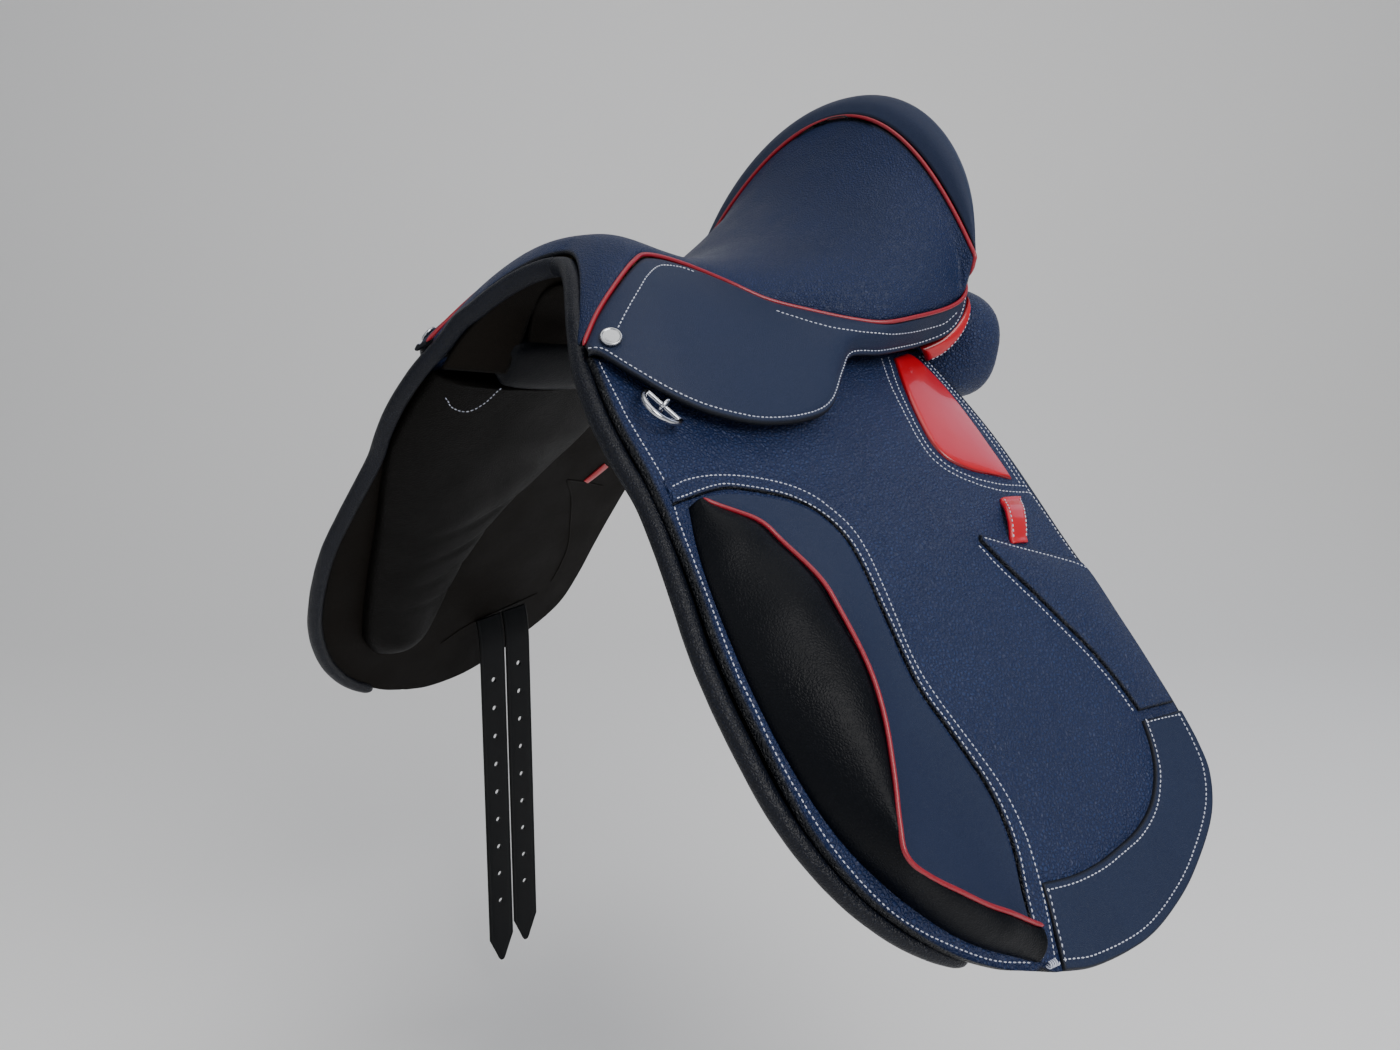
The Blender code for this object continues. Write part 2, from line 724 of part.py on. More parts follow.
def build_flap_lining(material):
    """Inner leather of the flap, with the slanted mouth that the billets hang from."""
    front = [(y + LINING_FRONT_IN, z + (0 if z > -60 else 3)) for y, z in FLAP_FRONT]
    rear = [(y - 9 if y > 60 else y, z + 6) for y, z in FLAP_REAR]
    front[0] = (front[0][0], -40)
    rear[0] = (rear[0][0], -40)
    rows = strip_rows(front, rear, 16, 7, lambda along, across: LINING_LIFT)
    lining = thicken(sheet("flap_lining", rows, material), LINING_THICK)
    mouth = loft("billet_mouth", slot_rings(), material)
    cut(lining, mouth)
    right = mirrored(lining, "flap_lining_R")
    lining.name = "flap_lining_L"
    far_mouth = mirrored(mouth, "billet_mouth_far")
    right.modifiers.remove(right.modifiers["cut"])
    cut(right, far_mouth)
    return lining, right


def slot_rings():
    """Cutter for the billets' mouth: a slanted slot, 64 mm long."""
    rings = []
    for lift in (LINING_LIFT + 3, LINING_LIFT - LINING_THICK - 3):
        ring = []
        for y, z in ((-33, -292), (33, -284), (33, -276), (-33, -284)):
            ring.append(on_flap(y, z, lift))
        rings.append(ring)
    return rings


def build_billet_web(material):
    """Web that carries the billets, between the flap and its lining."""
    rows = []
    for k in range(9):
        z = -44 - (230 * k / 8)
        half = 22 + 8 * k / 8
        rows.append([on_flap(y, z, -(FLAP_THICK + FIT)) for y in (-half, 0, half)])
    web = thicken(sheet("billet_web", rows, material), WEB_THICK)
    return pair(web)


def block_height(along):
    return between(BLOCK_HEIGHTS, along)


def build_knee_block(material):
    """The soft front of the knee block, from the front seam up to the piping."""

    def crown(along, across):
        rise = math.sin(math.pi / 2 * across) ** 0.62
        return 1.6 + (block_height(along) - 1.6) * rise + 2.0 * math.sin(math.pi * across)

    rings = pad_rings(BLOCK_FRONT, BLOCK_RIDGE, BLOCK_ROWS, 6, crown, FIT, 0.0, 0.98)
    return pair(loft("knee_block", rings, material))


def build_knee_wall(material):
    """The firm back of the knee block, from the piping down to the band."""

    def slope(along, across):
        fall = (1 - across) ** 2.6
        return 1.8 + (block_height(along) - 1.8) * fall

    rings = pad_rings(BLOCK_RIDGE, BLOCK_REAR, BLOCK_ROWS, 6, slope, FIT, 0.02, 1.0)
    return pair(loft("knee_wall", rings, material))


def build_knee_piping(material):
    line = []
    for k, (y, z) in enumerate(smooth_curve(BLOCK_RIDGE, BLOCK_ROWS)):
        line.append(on_flap(y, z, block_height(k / (BLOCK_ROWS - 1)) + PIPING_ROOM))
    return pair(tube("knee_piping", line, PIPING_R, material))


def flat_patch(name, edge_a, edge_b, rows, columns, thickness, material, puff=0.0):
    """A leather patch that lies on the flap between two edges, raised by puff in its middle."""

    def raised(along, across):
        swell = math.sin(math.pi * across) * math.sin(math.pi * along) ** 0.5
        return FIT + thickness + puff * swell

    rings = pad_rings(edge_a, edge_b, rows, columns, raised, FIT)
    return pair(loft(name, rings, material))


def build_keeper(material):
    """Keeper loop for the billets' ends: a strap that stands off the flap between its feet."""
    line = smooth_curve(KEEPER_LINE, KEEPER_STEPS + 1)
    along = (line[-1] - line[0]).normalized()
    side = Vector((-along.y, along.x)) * KEEPER_W / 2
    rings = []
    for k, centre in enumerate(line):
        rise = math.sin(math.pi * k / KEEPER_STEPS) * 1.5 - 0.45
        low = FIT + KEEPER_STAND * min(1.0, max(0.0, rise))
        high = low + KEEPER_THICK
        ring = []
        for offset, lift in ((-1, low), (1, low), (1, high), (0, low + KEEPER_CROWN), (-1, high)):
            y, z = centre + offset * side
            ring.append(on_flap(y, z, lift))
        rings.append(ring)
    return pair(loft("billet_keeper", rings, material))


def build_front_roll(material):
    """The panel's front edge roll, just inside the flap's front edge."""
    points = [on_flap(y, z, FRONT_ROLL_LIFT) for y, z in smooth_curve(FRONT_ROLL_LINE, 16)]
    return pair(tube("front_roll", points, FRONT_ROLL_R, material))


def build_tongue(material):
    """The panel's front cushion, which runs down the inside of the flap."""
    base = LINING_LIFT - LINING_THICK - FIT

    def crown(along, across):
        bulge = math.sin(math.pi * across) ** 0.55
        ends = math.sin(math.pi * min(1.0, 0.16 + 0.84 * along)) ** 0.5
        return base - TONGUE_ROOT - TONGUE_SWELL * bulge * ends

    def back(along, across):
        return base

    crest = strip_rows(TONGUE_FRONT, TONGUE_REAR, 14, 8, crown)
    flat = strip_rows(TONGUE_FRONT, TONGUE_REAR, 14, 8, back)
    rings = [high + low[::-1] for high, low in zip(crest, flat)]
    return pair(loft("panel_tongue", rings, material))


def skirt_edge():
    edge = [on_flap(y, z, lift) for y, z, lift in SKIRT_EDGE_ON_FLAP]
    return edge + [Vector(p) for p in SKIRT_EDGE_BEHIND]


def skirt_rows(columns):
    """Lines down the skirt, from its seam with the seat to its free edge."""
    rows = []
    lobe_lines = len(SKIRT_EDGE_ON_FLAP)
    away = Vector((0.78, 0.0, 0.62))
    for i, (top, low) in enumerate(zip(SEAT_SEAM, skirt_edge())):
        top = Vector(top)
        run = low - top
        room = SKIRT_ROOM * math.sin(math.pi * min(1.0, i / lobe_lines))
        row = []
        for c in range(columns):
            t = c / (columns - 1)
            row.append(top + t * run + room * math.sin(math.pi * t) ** 0.8 * away)
        rows.append(row)
    return rows


def dense_rows(rows, count):
    """More lines across, by smooth curves through the given lines' points."""
    columns = [spread(column, count) for column in zip(*rows)]
    return [list(row) for row in zip(*columns)]


def below_piping(line, seam):
    """The line without its first stretch, which the piping along the seam takes."""
    start = line[0]
    needed = PIPING_ROOM + 0.4

    def off_seam(point):
        step = point - start
        return (step - step.dot(seam) * seam).length

    rest = [p for p in line if off_seam(p) > needed + 0.2]
    share = needed / off_seam(rest[0])
    return [start.lerp(rest[0], share)] + rest


def split_at(line, z):
    """The two parts of a falling line, above and below a height."""
    for i, (a, b) in enumerate(zip(line, line[1:])):
        if a.z > z >= b.z:
            cut_point = a.lerp(b, (a.z - z) / (a.z - b.z))
            return line[:i + 1] + [cut_point], [cut_point] + line[i + 1:]
    return line, []


def build_skirts(material):
    """The skirt over the flap's top: a fixed part, and the lobe that lifts off the flap."""
    lines = dense_rows(skirt_rows(9), SKIRT_LINES)
    lifting = [i for i, line in enumerate(lines)
               if line[-1].z < SKIRT_HINGE_Z - 3 and line[-1].y < SKIRT_AXIS_REAR[1]]
    top, lobe = [], []
    for i, line in enumerate(lines):
        seam = (lines[min(i + 1, SKIRT_LINES - 1)][0] - lines[max(i - 1, 0)][0]).normalized()
        line = below_piping(line, seam)
        if i in lifting:
            room = FIT if i < lifting[-1] - 2 else 3 * FIT
            high, _ = split_at(line, SKIRT_HINGE_Z + FIT)
            _, low = split_at(line, SKIRT_HINGE_Z - room)
            top.append(smooth_curve(high, 5))
            lobe.append(smooth_curve(low, 4))
        else:
            if i - 1 in lifting:
                last = smooth_curve(below_piping(lines[i - 1], seam), 5)
                top.append([a.lerp(b, 0.14) for a, b in zip(last, smooth_curve(line, 5))])
            top.append(smooth_curve(line, 5))
    fixed = pair(thicken(sheet("skirt_top", top, material), SKIRT_THICK, UNDER_SKIRT))
    loose = pair(thicken(sheet("skirt", lobe, material), SKIRT_THICK, UNDER_SKIRT))
    return fixed, loose


def build_badge(material):
    """Plain domed nail head at the skirt's front corner."""
    bpy.ops.mesh.primitive_cylinder_add(vertices=16, radius=BADGE_R * MM,
                                        depth=BADGE_THICK * MM)
    nail = bpy.context.object
    nail.name = "badge_nail"
    for collection in nail.users_collection:
        collection.objects.unlink(nail)
    PIECES.objects.link(nail)
    nail.data.materials.append(material)
    soften(nail, 0.6)
    facing = Vector(BADGE_FACING).normalized()
    nail.rotation_mode = "QUATERNION"
    nail.rotation_quaternion = facing.to_track_quat("Z", "Y")
    nail.location = Vector(BADGE_CENTRE) * MM
    bpy.context.view_layer.update()
    return pair(nail)


def box_ring(centre, u, v, half_u, half_v):
    return [centre + a * half_u * u + b * half_v * v for a, b in ((-1, -1), (1, -1), (1, 1), (-1, 1))]


def build_stirrup_bar(material):
    """Forged bar under the skirt: a foot on the tree, a bend and the straight bar."""
    out = flap_normal(-75, -40)
    bend = [Vector(p) for p in BAR_FOOT]
    straight = [on_flap(y, z, BAR_LIFT) for y, z in BAR_ENDS]
    path = bend + straight
    rings = []
    for i, point in enumerate(path):
        before = path[max(i - 1, 0)]
        after = path[min(i + 1, len(path) - 1)]
        heading = (after - before).normalized()
        if i >= len(bend):
            heading = (straight[1] - straight[0]).normalized()
        v = heading.cross(out).normalized()
        u = v.cross(heading).normalized()
        half = BAR_HALF_FOOT if i < len(bend) else BAR_HALF_WIDTH
        rings.append(box_ring(point, u, v, BAR_HALF_DEPTH, half))
    bar = loft("stirrup_bar", rings, material)
    soften(bar, 0.8)
    return pair(bar)


def build_bar_catch(material):
    """Safety catch across the open end of the stirrup bar."""
    top = Vector(BAR_CATCH_TOP)
    low = on_flap(*BAR_CATCH_FOOT, CATCH_LIFT)
    heading = (low - top).normalized()
    v = Vector((0, 1, 0))
    u = v.cross(heading).normalized()
    rings = []
    for t, half in CATCH_HALF_WIDTHS:
        rings.append(box_ring(top.lerp(low, t), u, v, CATCH_HALF_DEPTH, half))
    catch = loft("bar_catch", rings, material)
    soften(catch, 0.7)
    return pair(catch)


def ring_frame():
    centre = on_flap(*RING_CENTRE_FOOT, RING_LIFT)
    bar = Vector(RING_BAR_WAY).normalized()
    reach = Vector(RING_REACH_WAY)
    reach = (reach - reach.dot(bar) * bar).normalized()
    return centre, bar, reach


def build_d_ring(material):
    """D-ring: a straight bar closed by a bow, from one round wire."""
    centre, bar, reach = ring_frame()
    corners = 16
    points = []
    for k in range(corners + 1):
        turn = math.pi * k / corners
        across = -RING_HALF * math.cos(turn)
        deep = RING_DEPTH * math.sin(turn) ** 0.85
        points.append(centre + across * bar + deep * reach)
    rings = []
    loop = points + [centre + (RING_HALF * (1 - k / 3)) * bar for k in range(1, 6)]
    normal = bar.cross(reach)
    count = len(loop)
    for i, point in enumerate(loop):
        heading = (loop[(i + 1) % count] - loop[i - 1]).normalized()
        side = normal.cross(heading).normalized()
        rings.append([point + RING_WIRE * (math.cos(a) * side + math.sin(a) * normal)
                      for a in (2 * math.pi * k / 8 for k in range(8))])
    ring = closed_loop("d_ring", rings, material)
    return pair(ring)


def closed_loop(name, rings, material):
    """A ring-shaped solid through closed sections, whose last meets its first."""
    count = len(rings[0])
    points = [p for ring in rings for p in ring]
    faces = []
    total = len(rings)
    for r in range(total):
        for c in range(count):
            a = r * count + c
            b = r * count + (c + 1) % count
            d = ((r + 1) % total) * count + c
            e = ((r + 1) % total) * count + (c + 1) % count
            faces.append((a, b, e, d))
    mesh = mesh_from(name, points, faces)
    work = bmesh.new()
    work.from_mesh(mesh)
    bmesh.ops.recalc_face_normals(work, faces=work.faces)
    work.to_mesh(mesh)
    work.free()
    return make_object(name, mesh, material)


def build_ring_clip(material):
    """The D-ring's staple: an eye round the ring's bar on a small plate."""
    centre, bar, _ = ring_frame()
    out = flap_normal(*RING_CENTRE_FOOT)
    side = bar.cross(out).normalized()
    up = side.cross(bar).normalized()
    rings = []
    for k in range(16):
        turn = 2 * math.pi * k / 16
        arm = math.cos(turn) * up + math.sin(turn) * side
        point = centre + CLIP_EYE_R * arm
        rings.append([point + CLIP_WIRE * (math.cos(a) * arm + math.sin(a) * bar)
                      for a in (2 * math.pi * j / 6 for j in range(6))])
    eye = closed_loop("ring_clip", rings, material)
    foot = centre - (RING_LIFT - FIT) * out
    plate = loft("clip_plate", [box_ring(foot + h * out, bar, side, CLIP_PLATE_HALF, CLIP_PLATE_HALF)
                                for h in (0, CLIP_PLATE_THICK)], material)
    PIECES.objects.unlink(plate)
    CUTTERS.objects.link(plate)
    plate.hide_render = True
    joined = eye.modifiers.new("join", "BOOLEAN")
    joined.operation = "UNION"
    joined.solver = "EXACT"
    joined.object = plate
    twin = mirrored(eye, "ring_clip_R")
    far_plate = mirrored(plate, "clip_plate_far")
    PIECES.objects.unlink(far_plate)
    CUTTERS.objects.link(far_plate)
    twin.modifiers["join"].object = far_plate
    eye.name = "ring_clip_L"
    return eye, twin


def billet_outline(length):
    """The strap's outline: square at the top and pointed at the tip."""
    half = BILLET_W / 2
    right = [(half, -(length - BILLET_TIP)), (0.72 * half, -(length - 12)), (2.0, -length)]
    left = [(-x, z) for x, z in right[::-1]]
    return [(-half, 0), (half, 0)] + right + left


def build_hanging_billet(name, length, y, material):
    """A billet that hangs straight down: a flat outline with nine punched holes."""
    curve = bpy.data.curves.new(name, "CURVE")
    curve.dimensions = "2D"
    curve.fill_mode = "BOTH"
    curve.extrude = BILLET_T / 2 * MM
    outlines = [billet_outline(length)]
    for k in range(HOLE_COUNT):
        z = -(length - HOLE_END - HOLE_PITCH * k)
        outlines.append([(HOLE_R * math.cos(a), z + HOLE_R * math.sin(a))
                         for a in (2 * math.pi * j / 8 for j in range(8))])
    for outline in outlines:
        spline = curve.splines.new("POLY")
        spline.points.add(len(outline) - 1)
        spline.use_cyclic_u = True
        for knot, (a, b) in zip(spline.points, outline):
            knot.co = (a * MM, b * MM, 0, 1)
    curve.materials.append(material)
    strap = bpy.data.objects.new(name, curve)
    PIECES.objects.link(strap)
    strap.matrix_world = Matrix((
        (0, 0, -1, -BILLET_HANG_X * MM),
        (1, 0, 0, y * MM),
        (0, 1, 0, (BILLET_TOP_Z + BILLET_SLANT * y) * MM),
        (0, 0, 0, 1),
    ))
    bpy.context.view_layer.update()
    return as_mesh(strap)


def build_folded_billet(name, length, y, material):
    """A billet put away: folded once and laid up along the inside of the flap."""
    reach = length / 2
    bottom = on_flap(y, FOLD_TOP_Z + BILLET_SLANT * y, LINING_LIFT + FOLD_LIFTS[0])
    top = on_flap(y, FOLD_TOP_Z + 0.78 * reach, LINING_LIFT + FOLD_LIFTS[1])
    up = (top - bottom).normalized()
    out = up.cross(Vector((0, 1, 0))).normalized()
    if out.x < 0:
        out.negate()
    centre_line = [(0, 0), (reach * 0.25, 0), (reach * 0.5, 0), (reach * 0.75, 0), (reach, 0)]
    for k in range(1, 6):
        turn = math.pi * k / 6
        centre_line.append((reach + FOLD_R * math.sin(turn), FOLD_R * (math.cos(turn) - 1)))
    for t in (1.0, 0.7, 0.4, 0.16, 0.0):
        centre_line.append((reach * t, -2 * FOLD_R))
    rings = []
    count = len(centre_line)
    for i, (a, b) in enumerate(centre_line):
        a0, b0 = centre_line[max(i - 1, 0)]
        a1, b1 = centre_line[min(i + 1, count - 1)]
        heading = ((a1 - a0) * up + (b1 - b0) * out).normalized()
        side = heading.cross(Vector((0, 1, 0))).normalized()
        half = BILLET_W / 2
        if i == count - 1:
            half = 3.0
        centre = bottom + a * up + b * out
        rings.append(box_ring(centre, side, Vector((0, 1, 0)), BILLET_T / 2, half))
    return loft(name, rings, material)


def build_billets(material):
    hung = []
    folded = []
    for word, length, y in zip(("front", "rear"), BILLET_LENGTHS, BILLET_CENTRES):
        hung.append(build_hanging_billet("billet_" + word + "_R", length, y, material))
        folded.append(build_folded_billet("billet_" + word + "_L", length, y, material))
    return hung, folded


def hang_moving_pieces():
    """Each moving piece hangs on an empty that stands on its joint's axis."""
    ring_bar = ring_frame()[0]
    for side, sign in (("L", 1), ("R", -1)):
        pivots = (("skirt", SKIRT_AXIS_FRONT, ("skirt",)),
                  ("ring", ring_bar, ("d_ring",)),
                  ("catch", BAR_CATCH_TOP, ("bar_catch",)),
                  ("billets", BILLET_PIVOT, ("billet_front", "billet_rear")),
                  ("flap", FLAP_AXIS, FLAP_PIECES))
        for name, point, pieces in pivots:
            place = (sign * point[0], point[1], point[2])
            moving = [PIECES.objects[piece + "_" + side] for piece in pieces]
            hang_on(place, moving, name + "_pivot_" + side)


def build():
    clear_scene()
    navy = smooth_navy_leather()
    grain = grained_navy_leather()
    black = black_leather()
    red = red_piping_leather()
    patent = red_patent_leather()
    steel = brushed_steel()
    bright = chrome()
    build_seat_cover(navy)
    build_cantle_cover(navy)
    build_seat_foam(latex_foam())
    build_tree(laminated_beech())
    build_seat_webbing(nylon_webbing())
    build_gullet_plate(steel)
    build_arch_roll(black)
    build_gullet_lining(black)
    build_panel(black)
    build_panel_gusset(patent)
    pair(build_seat_piping(red))
    build_cantle_piping(red)
    build_badge(bright)
    build_stirrup_bar(steel)
    build_bar_catch(steel)
    build_skirts(navy)
    build_flap(grain)
    build_flap_lining(black)
    build_billet_web(nylon_webbing())
    build_knee_block(black)
    build_knee_wall(navy)
    build_knee_piping(red)
    flat_patch("knee_band", BAND_OUTER, BAND_INNER, 26, 3, 2.2, navy)
    flat_patch("lower_band", LOWER_BAND_INNER, LOWER_BAND_OUTER, 14, 4, 2.0, navy)
    flat_patch("flap_gusset", GUSSET_LOWER, GUSSET_UPPER, 10, 6, 2.0, navy, puff=3.0)
    flat_patch("flap_inset", INSET_FRONT, INSET_REAR, 9, 5, 1.6, patent, puff=1.6)
    build_keeper(patent)
    build_front_roll(black)
    build_tongue(black)
    build_d_ring(bright)
    build_ring_clip(bright)
    build_billets(black)
    hang_moving_pieces()


build()
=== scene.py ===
"""Dressage saddle: its leathers, piping, stitching and metal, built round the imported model.

Lists of points are in millimetres. A pair (y, z) is a place on the flap's outer surface.
"""

import math

import bpy
import numpy as np
from mathutils import Matrix, Vector, noise
from mathutils.bvhtree import BVHTree


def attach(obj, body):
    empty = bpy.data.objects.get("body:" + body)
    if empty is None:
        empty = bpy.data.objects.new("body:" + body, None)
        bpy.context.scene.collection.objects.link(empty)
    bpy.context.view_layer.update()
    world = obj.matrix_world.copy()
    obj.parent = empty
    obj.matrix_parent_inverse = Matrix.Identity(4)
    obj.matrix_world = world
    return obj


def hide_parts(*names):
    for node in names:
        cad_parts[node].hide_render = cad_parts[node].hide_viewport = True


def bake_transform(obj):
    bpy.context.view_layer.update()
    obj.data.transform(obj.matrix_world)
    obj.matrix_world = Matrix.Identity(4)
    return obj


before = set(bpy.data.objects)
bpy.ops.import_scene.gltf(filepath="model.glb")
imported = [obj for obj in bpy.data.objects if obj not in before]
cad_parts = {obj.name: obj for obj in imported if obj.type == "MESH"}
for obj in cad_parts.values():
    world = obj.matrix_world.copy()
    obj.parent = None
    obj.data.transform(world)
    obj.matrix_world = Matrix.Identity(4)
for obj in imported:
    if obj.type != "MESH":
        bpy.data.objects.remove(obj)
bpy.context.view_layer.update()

MM = 0.001
SIDES = ("L", "R")

COVER_THICK = 3.5
FLAP_THICK = 5.0
SKIRT_THICK = 3.6
LINING_LIFT = -7.7
LINING_THICK = 2.2
PIPING_R = 1.5
SKIRT_ROOM = 11.0
STITCH_PITCH = 3.3
STITCH_LENGTH = 2.3
STITCH_R = 0.44
STITCH_LIFT = 0.12

# Where rows of points lie close to an edge.
EDGE_NEAR = (0.0, 0.3, 0.8, 1.5, 2.4)
EDGE_FINE = (0.0, 0.3, 0.8, 1.5, 2.2, 2.9, 3.6, 4.3, 5.2)

# Lines on the flap, as (y, z).
FLAP_FRONT = (
    (-202, -27), (-209, -60), (-209.5, -92), (-213.5, -137), (-219, -176), (-217, -215), (-210, -256),
    (-191, -291), (-160, -321), (-130, -338), (-106, -346))
FLAP_REAR = (
    (104, -27), (108, -60), (107, -100), (101, -150), (102, -190), (103, -230), (103, -262), (97, -292),
    (80, -311), (50, -329), (20, -343), (-18, -354), (-60, -356), (-90, -351))
FRONT_STITCH = (
    (-197, -31), (-200, -63), (-199, -96), (-204, -115), (-209, -147), (-213, -182), (-212, -200),
    (-211, -220), (-206, -245), (-200, -265), (-189, -286), (-176, -303), (-157, -318), (-130, -334),
    (-106, -342))
BLOCK_FRONT = (
    (-193, -108), (-201, -126), (-206.5, -148), (-209.5, -180), (-208.5, -210), (-203.5, -238),
    (-195, -262), (-181.5, -284), (-162, -306), (-138, -325), (-101.5, -343))
BLOCK_RIDGE = (
    (-186, -107), (-174, -117), (-164, -128), (-157, -146), (-154, -168), (-155, -195), (-160, -220),
    (-170, -246), (-178, -264), (-181, -277), (-171, -288), (-145, -304), (-98, -327))
BLOCK_REAR = (
    (-180, -104.5), (-164, -104.5), (-144, -107), (-121, -113), (-107, -120.5), (-98.5, -132),
    (-97.5, -147), (-101.5, -175), (-104.5, -208), (-98, -233), (-90.5, -258), (-88.5, -275),
    (-90.5, -293), (-95.5, -314), (-98, -330))
# The knee block's height at shares of its ridge.
BLOCK_HEIGHTS = ((0.0, 6), (0.12, 17), (0.25, 26), (0.4, 29), (0.6, 28), (0.75, 26), (0.88, 19), (1.0, 11))
BAND_OUTER = (
    (-200, -93.5), (-170, -91), (-148, -93), (-130, -96), (-112, -101), (-98, -108), (-89, -117),
    (-82, -129), (-81, -142), (-84, -160), (-91, -196), (-88, -218), (-79, -244), (-73, -263), (-71, -280),
    (-73, -297), (-78, -320), (-88, -349))
BAND_INNER = (
    (-202.5, -106), (-166, -101.5), (-143, -104.3), (-119, -110.5), (-104.5, -118.5), (-95.7, -131),
    (-94.6, -147), (-98.5, -175), (-101.5, -208), (-95, -232), (-87.6, -257), (-85.6, -275), (-87.6, -293),
    (-94, -314), (-100.5, -343))
GUSSET_LOWER = ((15.5, -147), (23, -162), (32.5, -177.5), (42, -195), (52.5, -214), (60, -234), (64, -251))
GUSSET_UPPER = (
    (18.5, -144), (40, -151), (62, -157.5), (84, -164.5), (98.5, -171), (99, -202), (99.5, -230),
    (99.5, -252))
LOWER_BAND_INNER = (
    (62, -256), (57, -269), (48, -282), (32, -295), (11, -304), (-12, -309), (-31, -312), (-54, -313),
    (-78, -311))
LOWER_BAND_OUTER = (
    (102.3, -257), (101, -276), (96, -292), (79, -310.5), (49.5, -328.5), (19.5, -342.5), (-18, -353.5),
    (-60, -355.5), (-86, -351.5))
INSET_FRONT = ((64, -34), (52, -50), (42, -67), (35, -84), (35, -94), (40, -101), (55, -108), (74, -112.5))
INSET_REAR = ((83, -31), (90, -36), (94, -56), (93, -78), (91, -95), (90, -106), (88.5, -116))
INSET_STITCH_OUT = (
    (51, -34), (39, -51), (30, -71), (25, -87), (25, -97), (32, -106), (47, -114), (68, -121), (98, -125))
INSET_STITCH_IN = (
    (60, -33), (46, -51), (35.5, -71), (30, -87), (31, -97), (38, -105), (54, -112.5), (73, -117.5),
    (96, -120.5))
REAR_STITCHES = (
    ((96, -33), (99, -62), (98.5, -92), (95, -118)),
    ((100.5, -33), (103.5, -62), (103, -95), (99, -122), (97, -150), (97.5, -170)))
BAND_STITCH_OUT = (
    (-196, -97), (-184, -94.5), (-168, -94), (-149, -95.3), (-131, -98.5), (-114, -103.5), (-101, -110),
    (-92, -119), (-85.2, -129.5), (-84, -142), (-87, -160), (-93.8, -196), (-91, -218), (-82, -244),
    (-76, -263), (-74, -280), (-76, -297), (-81, -320), (-88.5, -345))
BAND_STITCH_IN = (
    (-198, -103.5), (-166, -99.3), (-145, -102), (-121, -108.2), (-106.5, -116), (-98, -124), (-93, -134),
    (-92.2, -147), (-96, -175), (-99, -208), (-92.5, -232), (-85, -257), (-83, -275), (-85, -293),
    (-91.5, -314), (-97.5, -341))
LOWER_STITCH_OUT = (
    (97.3, -259), (95.7, -274.5), (91, -289), (75.6, -306), (47, -323.8), (17.8, -337.4), (-18.6, -348.2),
    (-59.5, -350.2), (-83, -346.6))
LOWER_STITCH_IN = (
    (65, -256), (60, -270), (51, -284), (34, -298), (12, -307.5), (-12, -312.5), (-31, -315.5),
    (-54, -316.5), (-76, -315))
LOWER_END_STITCH = ((65, -257.5), (80, -258), (97, -259))
GUSSET_STITCH = ((20, -147), (40, -154), (62, -160.5), (84, -167.5), (96, -172.5))
GUSSET_SEAM = ((13.5, -150), (19.5, -163.5), (29, -179.5), (38.5, -197), (49, -216), (56.5, -235), (60, -249))
LOWER_FOOT_STITCH = ((-76, -315), (-80, -331), (-83, -346.6))
# The thread whipped round the knee band's foot: place (y, z) and the place that gives its facing.
WHIP_AT = (-89.0, -346.0)
WHIP_FACING = (-90, -350)
WHIP_DOWN = (0.55, 0.0, -0.83)
WHIP_TURNS = 4.5
WHIP_PITCH = 1.5
WHIP_LIFT = 1.6
WHIP_R = 1.7
KEEPER_LINE = ((72, -127), (59.5, -138.5), (50, -152.5))
KEEPER_WIDE = (21.0, 16.0)
# Across the keeper: share of its half width, and height.
KEEPER_CROWN = (
    (-1, 0.9), (-0.94, 1.9), (-0.8, 2.5), (-0.4, 2.75), (0, 2.85), (0.4, 2.75), (0.8, 2.5), (0.94, 1.9),
    (1, 0.9))
KEEPER_TAIL = (((41, -128), (27, -144)), ((49, -132), (34, -147)))
# The roll round the pommel's arch, from its middle, as (x, y, z), and on down the flap's front.
ARCH_LINE = (
    (0, -153.5, 27.5), (12, -156, 26.3), (23, -161.5, 22.5), (34, -168, 16.5), (44, -175, 9),
    (53.5, -182, 0.5), (63, -189, -8))
ROLL_LINE = (
    (-197, -17), (-203.5, -29), (-209, -45), (-212, -62), (-212.5, -80), (-211, -98), (-213.5, -118),
    (-218.5, -145), (-223.5, -176), (-222.5, -212), (-216, -248), (-200.5, -281), (-181, -305),
    (-160, -321.5), (-138, -333))
ROLL_LIFT = -9.5
# The roll's radius at shares of its length, and where it bends between saddle and flap, in metres.
ROLL_RADII = ((0, 6.6), (0.12, 6.4), (0.2, 6.0), (0.78, 5.8), (1.0, 4.7))
ROLL_BEND = ((0.070, -0.197, -0.018), (0.095, -0.205, -0.045))
TONGUE_FRONT = (
    (-196, -34), (-203, -60), (-205, -90), (-199, -118), (-188, -160), (-178, -210), (-168, -258),
    (-161, -275), (-147, -289))
TONGUE_REAR = (
    (-2, -34), (-9, -60), (-19, -86), (-32, -106), (-48, -128), (-68, -156), (-84, -196), (-93, -238),
    (-99, -266), (-112, -286))
# Folds across the tongue: height, lean and depth.
TONGUE_FOLDS = ((-150, 0.30, 3.2), (-176, 0.22, 3.8), (-203, 0.2, 3.2), (-228, 0.12, 2.2))
LINING_TOP = -40
# Welts on the lining and stitches on the inner cushion, as (y, z).
LINING_WELTS = (
    ((3.5, -140.4), (32.7, -146.5), (61.7, -153.9)),
    ((3.5, -140.4), (22.2, -159.5), (41.0, -188.2), (57.1, -218.0), (60.9, -241.4), (59.3, -261.9)),
    ((47.7, -271.2), (23.0, -276.3), (-36.4, -288.7), (-67.7, -303.0)))
POCKET_STITCH = ((-193, -44), (-183, -50), (-168, -51), (-157, -44), (-151, -32))

